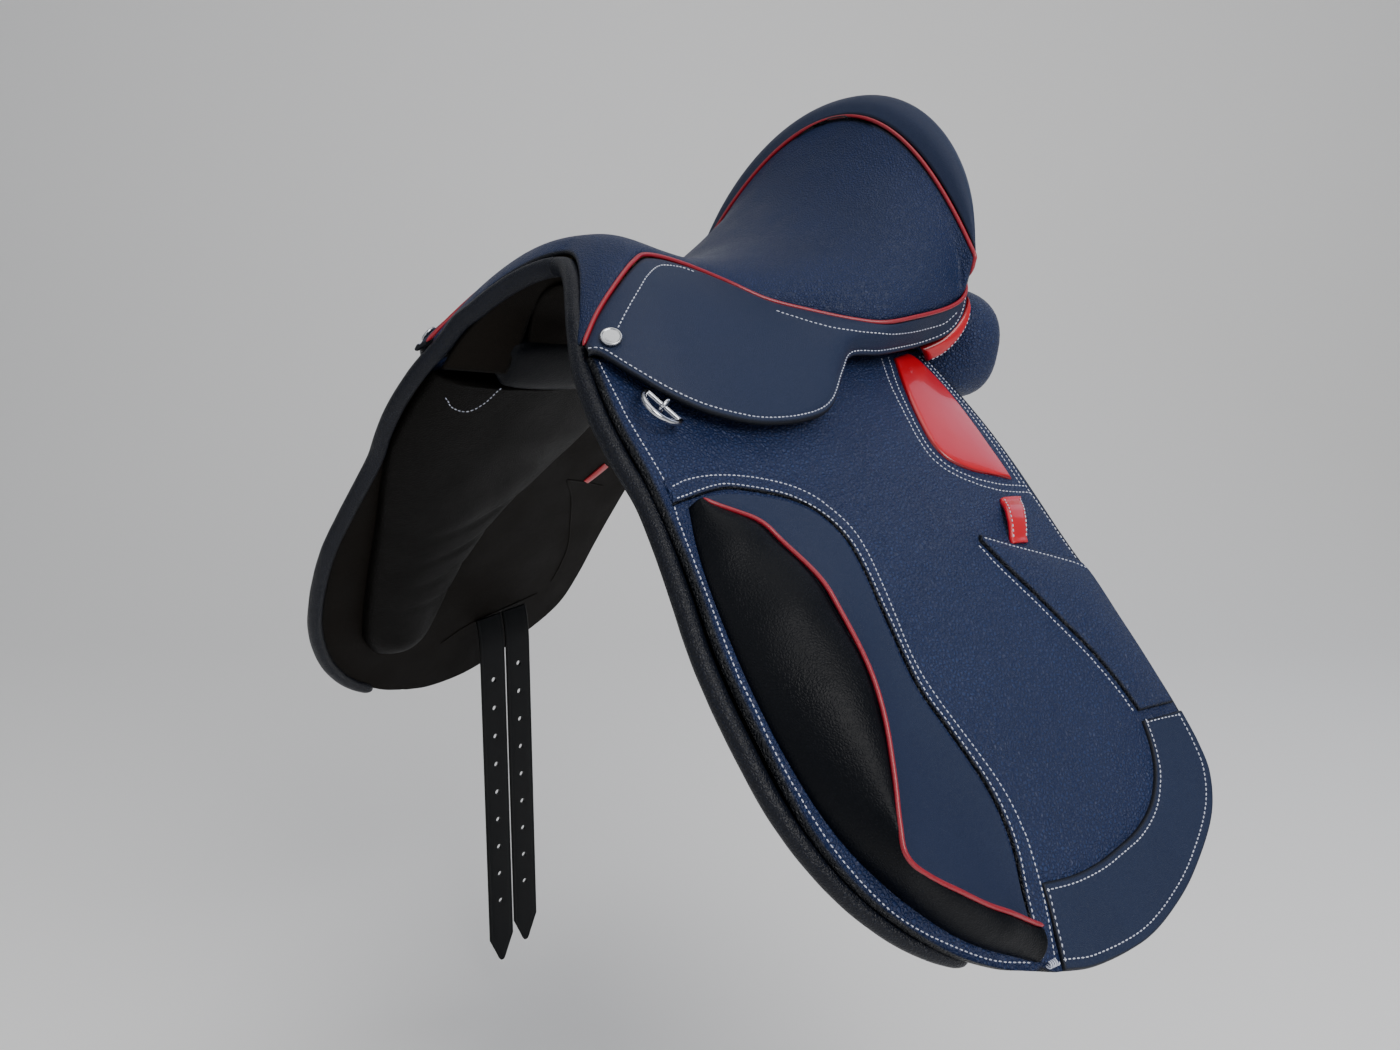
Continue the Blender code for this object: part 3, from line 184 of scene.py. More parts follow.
# Lines on the saddle, as (x, y, z); the skirt's edge on the flap is (y, z, lift).
SEAT_SEAM = (
    (86, -202, -21), (78, -185, -3), (72, -166, 14), (65, -145, 29), (58, -127, 34), (56, -96, 30),
    (62, -60, 19), (76, -36, 7.5), (95, -13, 0), (115, 9, -6), (128, 28, -8), (136, 54, -4), (140, 80, 1),
    (141, 98, 7), (140, 106.5, 14), (135.5, 112, 22), (128, 122, 30), (116, 136, 38), (95, 151, 46.5),
    (60, 160, 52), (0.4, 164, 54))
SKIRT_EDGE_ON_FLAP = (
    (-206, -28.5, 5), (-200, -31, 6.5), (-189, -44, 9.5), (-172, -59, 12), (-150, -69, 12),
    (-118, -76, 12), (-80, -76, 12), (-52, -70, 12), (-24, -53, 12), (-3, -41, 12), (26, -41, 13),
    (52, -39, 13.5))
SKIRT_EDGE_BEHIND = (
    (122.5, 76, -26), (129, 97, -19.5), (131.5, 109, -11), (131.5, 118, 0), (128, 125, 11),
    (118.5, 138, 23), (97, 157, 33), (60, 169, 38.5), (0.4, 172, 40))
SKIRT_FRONT_DECOR = (
    (98, -188, -15), (96.2, -184.1, -11.3), (91.1, -172.1, -0.3), (84.3, -156.6, 12.2),
    (79.5, -147.5, 18.5), (73.4, -136.3, 23.7), (69.7, -128.8, 25.9), (66.9, -120.4, 26.9),
    (64.3, -104.2, 26.3), (65.4, -95.5, 24.0))
SKIRT_REAR_DECOR = (
    (94.1, -44.1, -0.7), (100.9, -34.7, -4.6), (109.8, -25.7, -8.5), (117.4, -15.1, -11.8),
    (123.0, -0.8, -13.8), (127.8, 17.0, -15.2), (131.1, 37.5, -16.0), (132.1, 66.9, -13.6),
    (133.8, 88, -10.0), (136.7, 99.5, -1.5))
SKIRT_BEND = ((0.118, -0.1, -0.021), (0.128, -0.1, -0.031))
# Where rows of points lie close to the skirt's free edge, and to a piped seam.
SKIRT_NEAR = (0.0, 0.35, 0.9, 1.7, 2.6, 3.5, 4.3, 5.0, 5.7, 6.5, 7.6)
SEAM_NEAR = (0.0, 0.8, 2.0)

# Across the seat beside its seam: centre (y, z) and how square the shoulder is.
SEAT_MIDDLE = (
    (-143, 43.5, 0.8), (-138, 47, 0.7), (-132, 49, 0.6), (-120, 49, 0.6), (-96, 43, 0.65),
    (-64, 38, 0.65), (-36, 37.5, 0.6), (-12, 40, 0.52), (12, 45, 0.45), (37, 54, 0.4), (64, 70, 0.38),
    (87, 90, 0.4), (107, 115, 0.5))
# Lines across the seat: centre (y, z), side (x, y, z) and squareness.
SEAT_STATIONS = (
    ((-150, 36.5), (75.5, -199, -18), 1.0), ((-148, 39), (81, -199.5, -18.5), 0.95),
    *(((y, z), side, square) for (y, z, square), side in zip(SEAT_MIDDLE, SEAT_SEAM[1:])),
    ((120.5, 137), (142.8, 102, 22), 0.75), ((127.3, 150.3), (145.2, 105.5, 36), 1.0),
    ((127.9, 151.6), (145.4, 108.5, 38), 1.0))
SEAT_HEMS = ((140.8, 103.5, 13), (140.5, 106, 17), (140, 108.5, 19))
POMMEL_HEMS = ((76, -199.5, -21), (80.5, -199.5, -22))
CANTLE_SEAM = ((128.4, 153.6), (146.2, 107.4, 38.5), 1.0)
CANTLE_SEAM_FOOT = ((144.0, 108, 31), (140.5, 109, 25))
CANTLE_STATIONS = (
    ((129.2, 154), (145.5, 109, 41), 1.0), ((137, 166), (144.5, 110.5, 42), 0.76),
    ((148, 172), (142.5, 112, 42), 0.63), ((158, 170), (140, 114, 42), 0.59),
    ((165, 160), (137, 117, 42.5), 0.57), ((168, 140), (133, 122, 43.5), 0.57),
    ((167, 112), (127, 130, 45), 0.6), ((165, 84), (118, 139, 48), 0.65), ((163, 60), (98, 149, 51), 0.8),
    ((161.5, 51.5), (94, 149, 44), 0.8))
CANTLE_HEMS = (
    (139.5, 110, 21), (138, 111, 24), (136, 113, 26.5), (133, 117, 29.5), (129.5, 121.5, 32.5),
    (124.5, 127.5, 36), (118, 134.5, 40), (110, 142, 44), (97, 149.5, 48.5), (93, 149.5, 42.5))
# Rounds of a panel: y, centre (x, z), half width, half height and how far the outer side drops.
PANEL_STATIONS = (
    (-158, 60, -35, 13, 5, 52), (-150, 60, -36, 19, 8, 52), (-120, 61, -36, 24, 11, 48),
    (-70, 64, -36, 28, 14, 38), (-20, 66, -36, 30, 17, 28), (40, 67, -35, 31, 20, 20),
    (85, 67, -34, 30, 24, 14), (108, 69, -31, 31, 27, 12), (118, 80, -26, 43, 34, 10),
    (130, 87, -23, 50, 40, 10), (150, 90, -22.5, 51, 42, 10), (167, 87, -22.5, 44, 39, 12),
    (181, 85, -23.5, 33, 30, 14), (190, 83, -25, 16, 15, 14))
# Size and reach of the rings that close a panel's ends, and where its black front part stops; that black is
# partly the panel's own black leather and partly painted shade on its front.
PANEL_DOME = ((0.93, 1.2), (0.75, 2.6), (0.45, 3.6))
PANEL_BLACK_AND_SHADE_TO = 85.0
# The gullet's lining: y, its top corner (x, z), its foot (x, z) and its hem (x, z).
GULLET_STATIONS = (
    (-146, 14, 15, 44, -13, 48, -32), (-125, 12, 10, 39, -15, 46, -31), (-95, 11, 4, 34, -12, 44, -29),
    (-60, 11, 0, 32, -9, 42, -27), (60, 11, 0, 32, -9, 43, -23), (140, 11, 0, 30, -9, 44, -16),
    (176, 11, 1.5, 28, -7, 47, -14))
PANEL_GUSSET_UPPER = ((121, 84, -28), (127, 97, -19.5), (130, 110, -8), (131, 120.5, 3), (129.5, 128, 12))
PANEL_GUSSET_LOWER = (
    (117, 95, -38), (124, 104.5, -32), (130, 114, -21.5), (133, 121.5, -9.5), (132.5, 127, 2))
# Facings in the pommel's arch and under the cantle, from the middle to the left.
ARCH_FRONT = (
    (0, -151, 24), (12, -153.5, 23), (22, -158.5, 19.5), (32, -165, 13.5), (42, -172, 6), (51, -179, -3),
    (59, -186, -13), (66, -192, -24), (76, -198, -40))
ARCH_REAR = (
    (0, -140, 16), (14, -140, 16), (24, -141, 13), (32, -142, 9), (39, -144, 1), (43, -147, -9),
    (46, -150, -20), (49, -154, -30), (56, -158, -44))
CANTLE_FOOT = (
    (0, 168, 42), (58, 165, 40), (94, 153.5, 34.5), (115, 135, 24.5), (124, 122, 12), (124, 114, -2))
TREE_END = ((0, 171, -1), (38, 168, 0), (80, 156, 8), (102, 138, 8), (112, 122, 0), (112, 112, -8))
# The nail head: radius and height.
BADGE_PROFILE = (
    (0.0, 1.0), (2.5, 0.98), (4.4, 0.85), (4.9, 0.7), (5.1, 0.75), (5.4, 1.15), (5.9, 1.2), (6.3, 0.95),
    (6.5, 0.4), (6.5, -0.8), (0.0, -0.8))
BADGE_CENTRE = (99.1, -191.8, -16.3)
BADGE_FACING = (0.60, -0.45, 0.66)
# The ring at the flap's front: foot (y, z), sizes, degrees it hangs in, ways of its bar and bow.
RING_FOOT = (-178, -60)
RING_LIFT = 7.0
RING_HALF = 13.0
RING_DEPTH = 19.0
RING_SWING = 18.0
RING_WIRE = 1.9
RING_BAR = (0.62, 0.447, -0.655)
RING_REACH = (0.671, -0.718, 0.147)
STAPLE_R = 4.6
STAPLE_WIRE = 1.25
BILLET_W = 28.0
BILLET_T = 3.2
BILLET_DROP = (315.0, -287.0)
# Girth straps: name, length and place along the saddle.
BILLETS = (("front", 360.0, -14.6), ("rear", 353.0, 15.0))
STRAP_POINT = 26
STRAP_TIP = 8
HOLES = 9
HOLE_PITCH = 29
LAST_HOLE = 66
HOLE_R = 2.65

# The studio, in metres; the lamps' name, place, target, colour, size and watts.
FLOOR = -0.72
DAYLIGHT = (1.0, 0.98, 0.96)
LAMPS = (
    ("sky", (0.3, 0.1, 2.4), (0.0, 0.0, 0.0), DAYLIGHT, 2.4, 29.0),
    ("window", (2.3, -0.5, 1.2), (0.1, 0.0, -0.1), DAYLIGHT, 1.6, 58.0),
    ("front", (0.2, -2.2, 0.8), (0.0, 0.0, -0.1), DAYLIGHT, 1.6, 9.0),
    ("behind", (0.46, 1.85, 1.19), (0.18, 0.07, -0.07), (0.6, 0.7, 1.0), 1.2, 5.0))
# The photograph's camera: degrees, pixels and metres.
VIEW_AZIMUTH = 46
VIEW_PITCH = 10
FOCAL_PX = 1150
PHOTO_WIDE_PX = 1400
CAMERA_AT = (0.616, -0.620, -0.008)


# Materials.
def linear(code):
    """sRGB hex to the linear colour that the shader wants."""
    parts = [int(code[i:i + 2], 16) / 255 for i in (1, 3, 5)]
    return [c / 12.92 if c <= 0.04045 else ((c + 0.055) / 1.055) ** 2.4 for c in parts] + [1.0]


def feed(node, key, value):
    """A socket is given a value, or what feeds it."""
    if isinstance(value, bpy.types.NodeSocket):
        node.id_data.links.new(value, node.inputs[key])
    else:
        node.inputs[key].default_value = value


def add(tree, kind, sockets=None, **settings):
    """Adds a node with its settings and sockets."""
    node = tree.nodes.new(kind)
    for name, value in settings.items():
        setattr(node, name, value)
    for key, value in (sockets or {}).items():
        feed(node, key, value)
    return node


def blank(name, **sockets):
    """A material with one Principled shader, whose plain sockets are set here."""
    material = bpy.data.materials.new(name)
    material.use_nodes = True
    shader = material.node_tree.nodes["Principled BSDF"]
    for key, value in sockets.items():
        feed(shader, key.replace("_", " "), value)
    return material, material.node_tree, shader


def pattern(tree, kind, scale, more=None, out="Fac", **settings):
    """A texture on the object's own coordinates, so that its size is real."""
    spot = add(tree, "ShaderNodeTexCoord").outputs["Object"]
    sockets = {"Vector": spot, "Scale": scale, **(more or {})}
    return add(tree, "ShaderNodeTex" + kind, sockets, **settings).outputs[out]


def spread(tree, value, low, high, least, most, **settings):
    """A value's range from low to high, made into least to most."""
    return add(tree, "ShaderNodeMapRange", {"Value": value, "From Min": low, "From Max": high,
                                            "To Min": least, "To Max": most}, **settings).outputs["Result"]


def bumped(tree, shader, height, relief, strength=1.0, over=None):
    """The shader's normal tilted by a height, whose relief is in metres."""
    sockets = {"Height": height, "Strength": strength, "Distance": relief}
    if over:
        sockets["Normal"] = over
    normal = add(tree, "ShaderNodeBump", sockets).outputs["Normal"]
    feed(shader, "Normal", normal)
    return normal


def mix_colours(tree, factor, low, high):
    """A colour between two, each a value or a socket."""
    return add(tree, "ShaderNodeMix", {0: factor, 6: low, 7: high}, data_type="RGBA").outputs[2]


def coloured(tree, shader, factor, low, high):
    """The shader's colour between two hex colours."""
    feed(shader, "Base Color", mix_colours(tree, factor, linear(low), linear(high)))


def rim_of(tree):
    """The mask of a leather's dressed edge."""
    return add(tree, "ShaderNodeAttribute", attribute_name="rim").outputs["Fac"]


def hide(name, flesh, dark_dye_and_shade, edge, pebble_mm, relief_mm, roughness, shine, mottle):
    """Dyed cowhide: pebbles of the grain, clouded dye, painted shade in the cracks between pebbles, and a
    dressed edge where rim is 1.
    """
    material, tree, shader = blank(name, IOR=1.5, Specular_IOR_Level=shine)
    spot = add(tree, "ShaderNodeTexCoord").outputs["Object"]
    warp = pattern(tree, "Noise", 700 / pebble_mm, {"Detail": 2.0}, "Color")
    nudge = add(tree, "ShaderNodeVectorMath", {0: warp, "Scale": 0.6 * pebble_mm * MM}, operation="SCALE")
    bent = add(tree, "ShaderNodeVectorMath", {0: spot, 1: nudge.outputs["Vector"]}, operation="ADD")
    cracks = add(tree, "ShaderNodeTexVoronoi", {"Vector": bent.outputs["Vector"], "Scale": 1000 / pebble_mm},
                 feature="DISTANCE_TO_EDGE")
    pebble = spread(tree, cracks.outputs["Distance"], 0.0, 0.32, 0.0, 1.0, interpolation_type="SMOOTHSTEP")
    pore = pattern(tree, "Noise", 1400.0, {"Detail": 3.0})
    fold = pattern(tree, "Noise", 110.0, {"Detail": 4.0, "Roughness": 0.6})
    cloud = pattern(tree, "Noise", 22.0, {"Detail": 3.0})
    height = add(tree, "ShaderNodeMath", {0: pore, 1: 0.3, 2: pebble}, operation="MULTIPLY_ADD")
    grain = bumped(tree, shader, height.outputs["Value"], relief_mm * MM)
    bumped(tree, shader, fold, 0.9 * MM * mottle, over=grain)
    dye = mix_colours(tree, cloud, linear(dark_dye_and_shade), linear(flesh))
    # Painted shade: the cracks between pebbles take the dark colour, as if shade lay in them; elsewhere the
    # clouded dye shows.
    deep = mix_colours(tree, pebble, linear(dark_dye_and_shade), dye)
    feed(shader, "Base Color", mix_colours(tree, rim_of(tree), deep, linear(edge)))
    feed(shader, "Roughness", spread(tree, cloud, 0.3, 0.7, roughness - 0.05, roughness + 0.06))
    return material


def patent():
    """Patent leather: a clear lacquer over red, so lights mirror in it."""
    material, tree, shader = blank("patent_leather_red", Roughness=0.3, IOR=1.4, Coat_Weight=0.45,
                                   Coat_Roughness=0.02, Coat_IOR=1.5)
    ripple = pattern(tree, "Noise", 55.0, {"Detail": 1.0})
    feed(shader, "Coat Normal", bumped(tree, shader, ripple, 0.45 * MM, 0.5))
    coloured(tree, shader, rim_of(tree), "#b80a1e", "#7a0512")
    return material


def two_tone(name, colours, texture, relief_mm=0.0, **sockets):
    """A material whose one texture clouds its colour, and raises it where it has a relief."""
    material, tree, shader = blank(name, **sockets)
    factor = pattern(tree, **texture)
    if relief_mm:
        bumped(tree, shader, factor, relief_mm * MM, 0.5)
    coloured(tree, shader, factor, *colours)
    return material


def metal(name, colour, roughness, scratch):
    """A plated or forged metal, with fine handling marks in its gloss."""
    material, tree, shader = blank(name, Metallic=1.0, Base_Color=linear(colour))
    marks = pattern(tree, "Noise", 900.0, {"Detail": 4.0})
    feed(shader, "Roughness", spread(tree, marks, 0.3, 0.75, roughness, roughness + scratch))
    return material


def woven(name, dark, light, thread_mm):
    """Plain weave web: warp and weft show as crossing ribs."""
    material, tree, shader = blank(name, Roughness=0.85, IOR=1.5)
    warp, weft = (pattern(tree, "Wave", 1000 / thread_mm / 6.28, bands_direction=way) for way in "YZ")
    ribs = add(tree, "ShaderNodeMath", {0: warp, 1: weft}, operation="MULTIPLY").outputs["Value"]
    bumped(tree, shader, ribs, 0.3 * MM)
    coloured(tree, shader, ribs, dark, light)
    return material


# Each hide's third colour is the dark end of its clouded dye and also the painted shade in the cracks of its
# grain.
SMOOTH_NAVY = hide("calf_leather_navy", "#1e2b49", "#17223b", "#080c15", 1.0, 0.1, 0.48, 0.25, 0.14)
SEAT_NAVY = hide("seat_leather_navy", "#1e2e58", "#12203f", "#080c15", 2.0, 0.42, 0.45, 0.25, 0.25)
GRAIN_NAVY = hide("pebbled_leather_navy", "#293a61", "#132041", "#060910", 2.5, 0.7, 0.43, 0.28, 0.35)
BLACK = hide("soft_leather_black", "#04070e", "#020409", "#020305", 1.8, 0.09, 0.42, 0.12, 0.3)
ROLL_NAVY = hide("soft_leather_dark_navy", "#0c1322", "#070a13", "#05070c", 1.9, 0.2, 0.4, 0.24, 0.3)
TONGUE_BLACK = hide("cushion_leather_black", "#0b0907", "#050403", "#050403", 1.9, 0.2, 0.5, 0.1, 0.3)
BROWN_BLACK = hide("lining_leather_black", "#17120d", "#0d0a07", "#080604", 1.4, 0.1, 0.6, 0.08, 0.25)
STRAP = hide("bridle_leather_black", "#090c12", "#050709", "#030405", 0.9, 0.05, 0.4, 0.2, 0.1)
PATENT = patent()
# Thin red leather drawn over cord: satin, with fine creases across the cord.
PIPING = two_tone("piping_leather_red", ("#74081a", "#a01028"),
                  {"kind": "Noise", "scale": 500.0, "more": {"Detail": 3.0}}, 0.25,
                  Roughness=0.36, IOR=1.5, Coat_Weight=0.25, Coat_Roughness=0.2)
# Waxed linen thread, twisted: pale, with darker turns.
THREAD = two_tone("waxed_linen_thread", ("#a3a9bd", "#dde1ee"),
                  {"kind": "Wave", "scale": 400.0, "more": {"Distortion": 1.0}}, Roughness=0.6, IOR=1.5)
# Plated and forged metal: bright, with handling marks.
CHROME = metal("chrome_plate", "#c9cbd0", 0.06, 0.1)
SILVER = metal("satin_nickel", "#b4b6ba", 0.2, 0.12)
STEEL = metal("forged_steel", "#8d8f92", 0.34, 0.15)
# Laminated beech: thin plies, with the grain along the saddle.
BEECH = two_tone("laminated_beech", ("#8f6a42", "#c9a274"),
                 {"kind": "Wave", "scale": 160.0, "more": {"Distortion": 3.0, "Detail": 3.0},
                  "bands_direction": "Z"}, Roughness=0.55, IOR=1.5)
# Latex foam: matt cream with open pores.
FOAM = two_tone("latex_foam", ("#b9a77a", "#dccf9f"), {"kind": "Voronoi", "scale": 900.0, "out": "Distance"},
                Roughness=0.95, IOR=1.4)
WEB = woven("nylon_web", "#3d3830", "#6f675a", 1.2)


# Lines and grids.
def curve_through(points, per=12):
    """Dense points on the smooth curve through points, or through whole rows of points."""
    p = np.array([np.array(q, float) for q in points])
    ends = np.concatenate([(2 * p[0] - p[1])[None], p, (2 * p[-1] - p[-2])[None]])
    t = np.linspace(0, 1, per, endpoint=False).reshape((-1,) + (1,) * (p.ndim - 1))
    parts = []
    for a, b, c, d in zip(ends, ends[1:], ends[2:], ends[3:]):
        parts.append(0.5 * (2 * b + (c - a) * t + (2 * a - 5 * b + 4 * c - d) * t ** 2
                            + (3 * b - a - 3 * c + d) * t ** 3))
    return np.concatenate(parts + [p[-1:]])


def unit(v):
    """Vectors made 1 long."""
    return v / np.linalg.norm(v, axis=-1, keepdims=True)


def doubled(half):
    """A line from a half that starts on the saddle's middle, and its mirror image."""
    half = np.array(half, float)
    return np.concatenate([half[:0:-1] * (-1, 1, 1), half])


def even(count):
    """Even shares from 0 to 1."""
    return np.linspace(0, 1, count)


def run_of(line):
    """How far along the line each of its points is."""
    return np.concatenate([[0], np.cumsum(np.linalg.norm(np.diff(line, axis=0), axis=1))])


def at(line, shares):
    """Points at shares of the line's length."""
    run = run_of(line)
    wanted = np.asarray(shares) * run[-1]
    return np.stack([np.interp(wanted, run, line[:, k]) for k in range(line.shape[1])], axis=1)


def steps(total, step, near=EDGE_NEAR):
    """Shares of a length in mm, close together at its ends, where a leather edge is round."""
    near = np.array(near) * min(1.0, 0.4 * total / near[-1]) / total
    count = max(2, int(total * (1 - 2 * near[-1]) / step))
    middle = np.linspace(near[-1], 1 - near[-1], count + 1)[1:-1]
    return np.concatenate([near, middle, 1 - near[::-1]])


def normals(grid, away):
    """Unit normals of a grid, on the side that faces away from a point."""
    n = np.cross(np.gradient(grid, axis=0), np.gradient(grid, axis=1))
    n /= np.maximum(np.linalg.norm(n, axis=2, keepdims=True), 1e-9)
    return n if np.sum(n * (grid - np.array(away, float))) > 0 else -n


def edge_distances(grid):
    """Distance of each point from the first row, last row, first column and last column."""
    down = np.array([run_of(line) for line in grid.swapaxes(0, 1)]).T
    over = np.array([run_of(row) for row in grid])
    return down, down[-1:] - down, over, over[:, -1:] - over


def line_distance(y, z, line):
    """Distance on the flap from each (y, z) to a line through points."""
    dense = curve_through(line, 8)
    spot = np.stack([y, z], axis=-1)[..., None, :]
    a, b = dense[:-1], dense[1:]
    ab = b - a
    t = np.clip(np.sum((spot - a) * ab, axis=-1) / np.sum(ab * ab, axis=-1), 0, 1)
    return np.linalg.norm(spot - (a + t[..., None] * ab), axis=-1).min(axis=-1)


def groove(distance, depth=0.45, wide=1.0):
    """How far a seam's thread pulls the leather in."""
    return -depth * np.exp(-(distance / wide) ** 2)


def rough(points, size_mm, seed=0.0):
    """Smooth noise from -1 to 1 at points in mm."""
    flat = np.asarray(points).reshape(-1, 3) / size_mm + seed
    values = [noise.noise(Vector(p)) for p in flat]
    return np.array(values).reshape(np.asarray(points).shape[:-1])


# Meshes.
def linked(name, data):
    """A new object in the scene."""
    made = bpy.data.objects.new(name, data)
    bpy.context.scene.collection.objects.link(made)
    return made


def piece(name, points, quads, material, rim=None, tris=()):
    """A mesh object at the origin, in metres, with its faces outwards."""
    points = np.asarray(points, float) * MM
    quads = np.asarray(quads)
    a, b, c, d = (points[quads[:, k]] for k in range(4))
    volume = np.sum(a * np.cross(b, c)) + np.sum(a * np.cross(c, d))
    faces = quads.tolist() + [list(t) for t in tris]
    if volume < 0:
        faces = [f[::-1] for f in faces]
    mesh = bpy.data.meshes.new(name)
    mesh.from_pydata(points.tolist(), [], faces)
    mesh.materials.append(material)
    mesh.shade_smooth()
    if rim is not None:
        mesh.attributes.new("rim", "FLOAT", "POINT").data.foreach_set("value", np.asarray(rim, np.float32))
    return linked(name, mesh)


def cells(index):
    """Quads between the neighbours of a grid of indices."""
    return np.stack([index[:-1, :-1], index[:-1, 1:], index[1:, 1:], index[1:, :-1]], -1).reshape(-1, 4)


def slab(name, top, bottom, material, rim=None, weld=False):
    """Closed solid between two grids of points; welded where the two meet at a round edge."""
    rows, cols = top.shape[:2]
    index = np.arange(rows * cols).reshape(rows, cols)
    rim = np.zeros((rows, cols)) if rim is None else rim
    kept = np.ones((rows, cols), bool)
    if weld:
        kept[0] = kept[-1] = kept[:, 0] = kept[:, -1] = False
    under = index.copy()
    under[kept] = rows * cols + np.arange(kept.sum())
    quads = [cells(index), cells(under)[:, ::-1]]
    if not weld:
        loop, low = (np.concatenate([i[0], i[1:, -1], i[-1, -2::-1], i[-2:0:-1, 0]]) for i in (index, under))
        quads.append(np.stack([np.roll(loop, -1), loop, low, np.roll(low, -1)], axis=-1))
    return piece(name, np.concatenate([top.reshape(-1, 3), bottom[kept]]), np.concatenate(quads), material,
                 np.concatenate([rim.ravel(), rim[kept]]))


def rounding(d, r):
    """How far a round edge of radius r has fallen at a distance d from its rim."""
    return r - np.sqrt(np.maximum(r * r - (r - np.clip(d, 0, r)) ** 2, 0))


def shell(name, grid, thick, away, material, lift=None, rim_mm=2.0):
    """A leather sheet with round edges; its wall lies on the side of the point away."""
    n = normals(grid, away)
    d = np.minimum.reduce(edge_distances(grid))
    r = thick / 2
    sink = rounding(d, r)
    raised = 0 if lift is None else lift * np.minimum(1, d / r)
    top = grid + n * (raised - sink)[..., None]
    bottom = grid - n * (thick - sink)[..., None]
    return slab(name, top, bottom, material, rim=np.clip(1.7 - d / rim_mm, 0, 1), weld=True)


def rings_piece(name, rings, material, closed=False):
    """A solid through closed rings of points, with a pole at each end or closed on itself."""
    count, sides = rings.shape[:2]
    index = np.arange(count * sides).reshape(count, sides)
    index = np.concatenate([index, index[:, :1]], axis=1)
    if closed:
        index = np.concatenate([index, index[:1]])
    points = rings.reshape(-1, 3)
    tris = []
    if not closed:
        points = np.concatenate([points, rings[0].mean(0)[None], rings[-1].mean(0)[None]])
        first, last = count * sides, count * sides + 1
        for k in range(sides):
            tris.append((index[0, k + 1], index[0, k], first))
            tris.append((index[-1, k], index[-1, k + 1], last))
    return piece(name, points, cells(index), material, None, tris)


def around(count):
    """Even angles round a circle."""
    return np.linspace(0, 2 * math.pi, count, endpoint=False)


def rings_along(line, radius, sides=14, closed=False):
    """Round rings along dense points; radius is one number or one for each point."""
    line = np.asarray(line, float)
    heading = np.gradient(line, axis=0)
    if closed:
        heading = np.roll(line, -1, axis=0) - np.roll(line, 1, axis=0)
    heading = unit(heading)
    side = np.cross(heading[0], (0.31, 0.52, 0.79))
    radius = np.broadcast_to(np.asarray(radius, float), (len(line),))
    turns = around(sides)
    rings = []
    for point, way, r in zip(line, heading, radius):
        side = unit(side - np.dot(side, way) * way)
        other = np.cross(way, side)
        rings.append(point + r * (np.cos(turns)[:, None] * side + np.sin(turns)[:, None] * other))
    return np.array(rings)


def tube(name, line, radius, material, sides=14, closed=False):
    """A round cord along dense points, with domed ends or closed on itself."""
    radii = radius if closed else rounded_ends(radius, len(line))
    return rings_piece(name, rings_along(line, radii, sides, closed), material, closed)


def rounded_ends(radius, count, reach=3):
    """Radii for a cord whose ends close in a dome."""
    radii = np.full(count, float(radius))
    for k in range(reach):
        share = math.sqrt(1 - ((reach - k) / (reach + 0.15)) ** 2)
        radii[k] *= share
        radii[-1 - k] *= share
    return radii


def twin(obj, name):
    """The same piece for the right side."""
    mesh = obj.data.copy()
    mesh.name = name
    mesh.transform(Matrix.Scale(-1, 4, (1, 0, 0)))
    mesh.flip_normals()
    return linked(name, mesh)


def both(obj):
    """Names a piece for the left side, and returns it with its twin for the right."""
    base = obj.name
    obj.name = base + "_L"
    return {"L": obj, "R": twin(obj, base + "_R")}


def mirrored(point, side):
    """A point of the left side, as it is on a side."""
    return (point[0] if side == "L" else -point[0],) + tuple(point[1:])


def put(obj, body, slot=None, *nodes, fill=None):
    """Puts a piece on a body, in place of its nodes; fill is not used."""
    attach(obj, body)
    if nodes:
        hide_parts(*nodes)


def hang(obj, slot=None, *nodes, body="flap_{}", fill=None):
    """Puts a left piece and its twin on the bodies of their sides."""
    for side, this in both(obj).items():
        put(this, body.format(side), slot, *[n + "_" + side for n in nodes], fill=fill)


# The flap's surface.
def foot(y, z):
    """How far from the saddle's middle the flap lies: it bows as it goes down."""
    t = (z + 150) / 100
    return 218 - 87 * t - 8 * t * t + y / 10 - 0.05 * y * t


def outward(y, z):
    """The way the flap faces."""
    t = (z + 150) / 100
    return unit(np.stack([np.ones_like(t), -(0.1 - 0.05 * t), 0.87 + 0.16 * t + 0.0005 * y], axis=-1))


def on_flap(y, z, lift=0.0):
    """Points over the flap's outer surface."""
    y, z = np.asarray(y, float), np.asarray(z, float)
    return np.stack([foot(y, z), y, z], axis=-1) + np.asarray(lift)[..., None] * outward(y, z)


def line_on_flap(line, lift=0.0):
    """Points over the flap for a line of (y, z)."""
    return on_flap(*np.array(line, float).T, lift)


def feet(edge_a, edge_b, along, across):
    """(y, z) grids on the flap between two edges."""
    a = at(curve_through(edge_a), along)[:, None]
    b = at(curve_through(edge_b), along)[:, None]
    spots = a + (b - a) * np.asarray(across)[None, :, None]
    return spots[..., 0], spots[..., 1]


def arch(shares, power=1.0):
    """A hump that is 0 at both ends."""
    return np.maximum(np.sin(np.pi * shares), 0) ** power


def flap_slab(name, y, z, high, low, material, rim=None):
    """A solid between two heights over the flap."""
    return slab(name, on_flap(y, z, high), on_flap(y, z, low), material, rim)


def patch(name, edge_a, edge_b, thick, material, along, across, puff=None, seams=(), base=-1.5,
          round_mm=1.4, slope=None, dressed=(0, 1, 2, 3)):
    """A leather patch sewn on the flap, with round edges and a groove under each seam."""
    y, z = feet(edge_a, edge_b, along, across)
    flat = on_flap(y, z)
    u, v = np.asarray(along)[:, None], np.asarray(across)[None, :]
    edges = edge_distances(flat)
    bend = 1 - np.minimum(np.minimum.reduce(edges), round_mm) / round_mm
    lift = thick * np.sqrt(np.maximum(1 - bend ** 2, 0))
    if slope is not None:
        lift = lift * slope(u, v)
    if puff is not None:
        lift = lift + puff(u, v)
    for seam in seams:
        lift = lift + groove(line_distance(y, z, seam))
    d = np.minimum.reduce([edges[k] for k in dressed])
    return flap_slab(name, y, z, lift, base, material, np.clip(1.4 - d / 1.4, 0, 1))


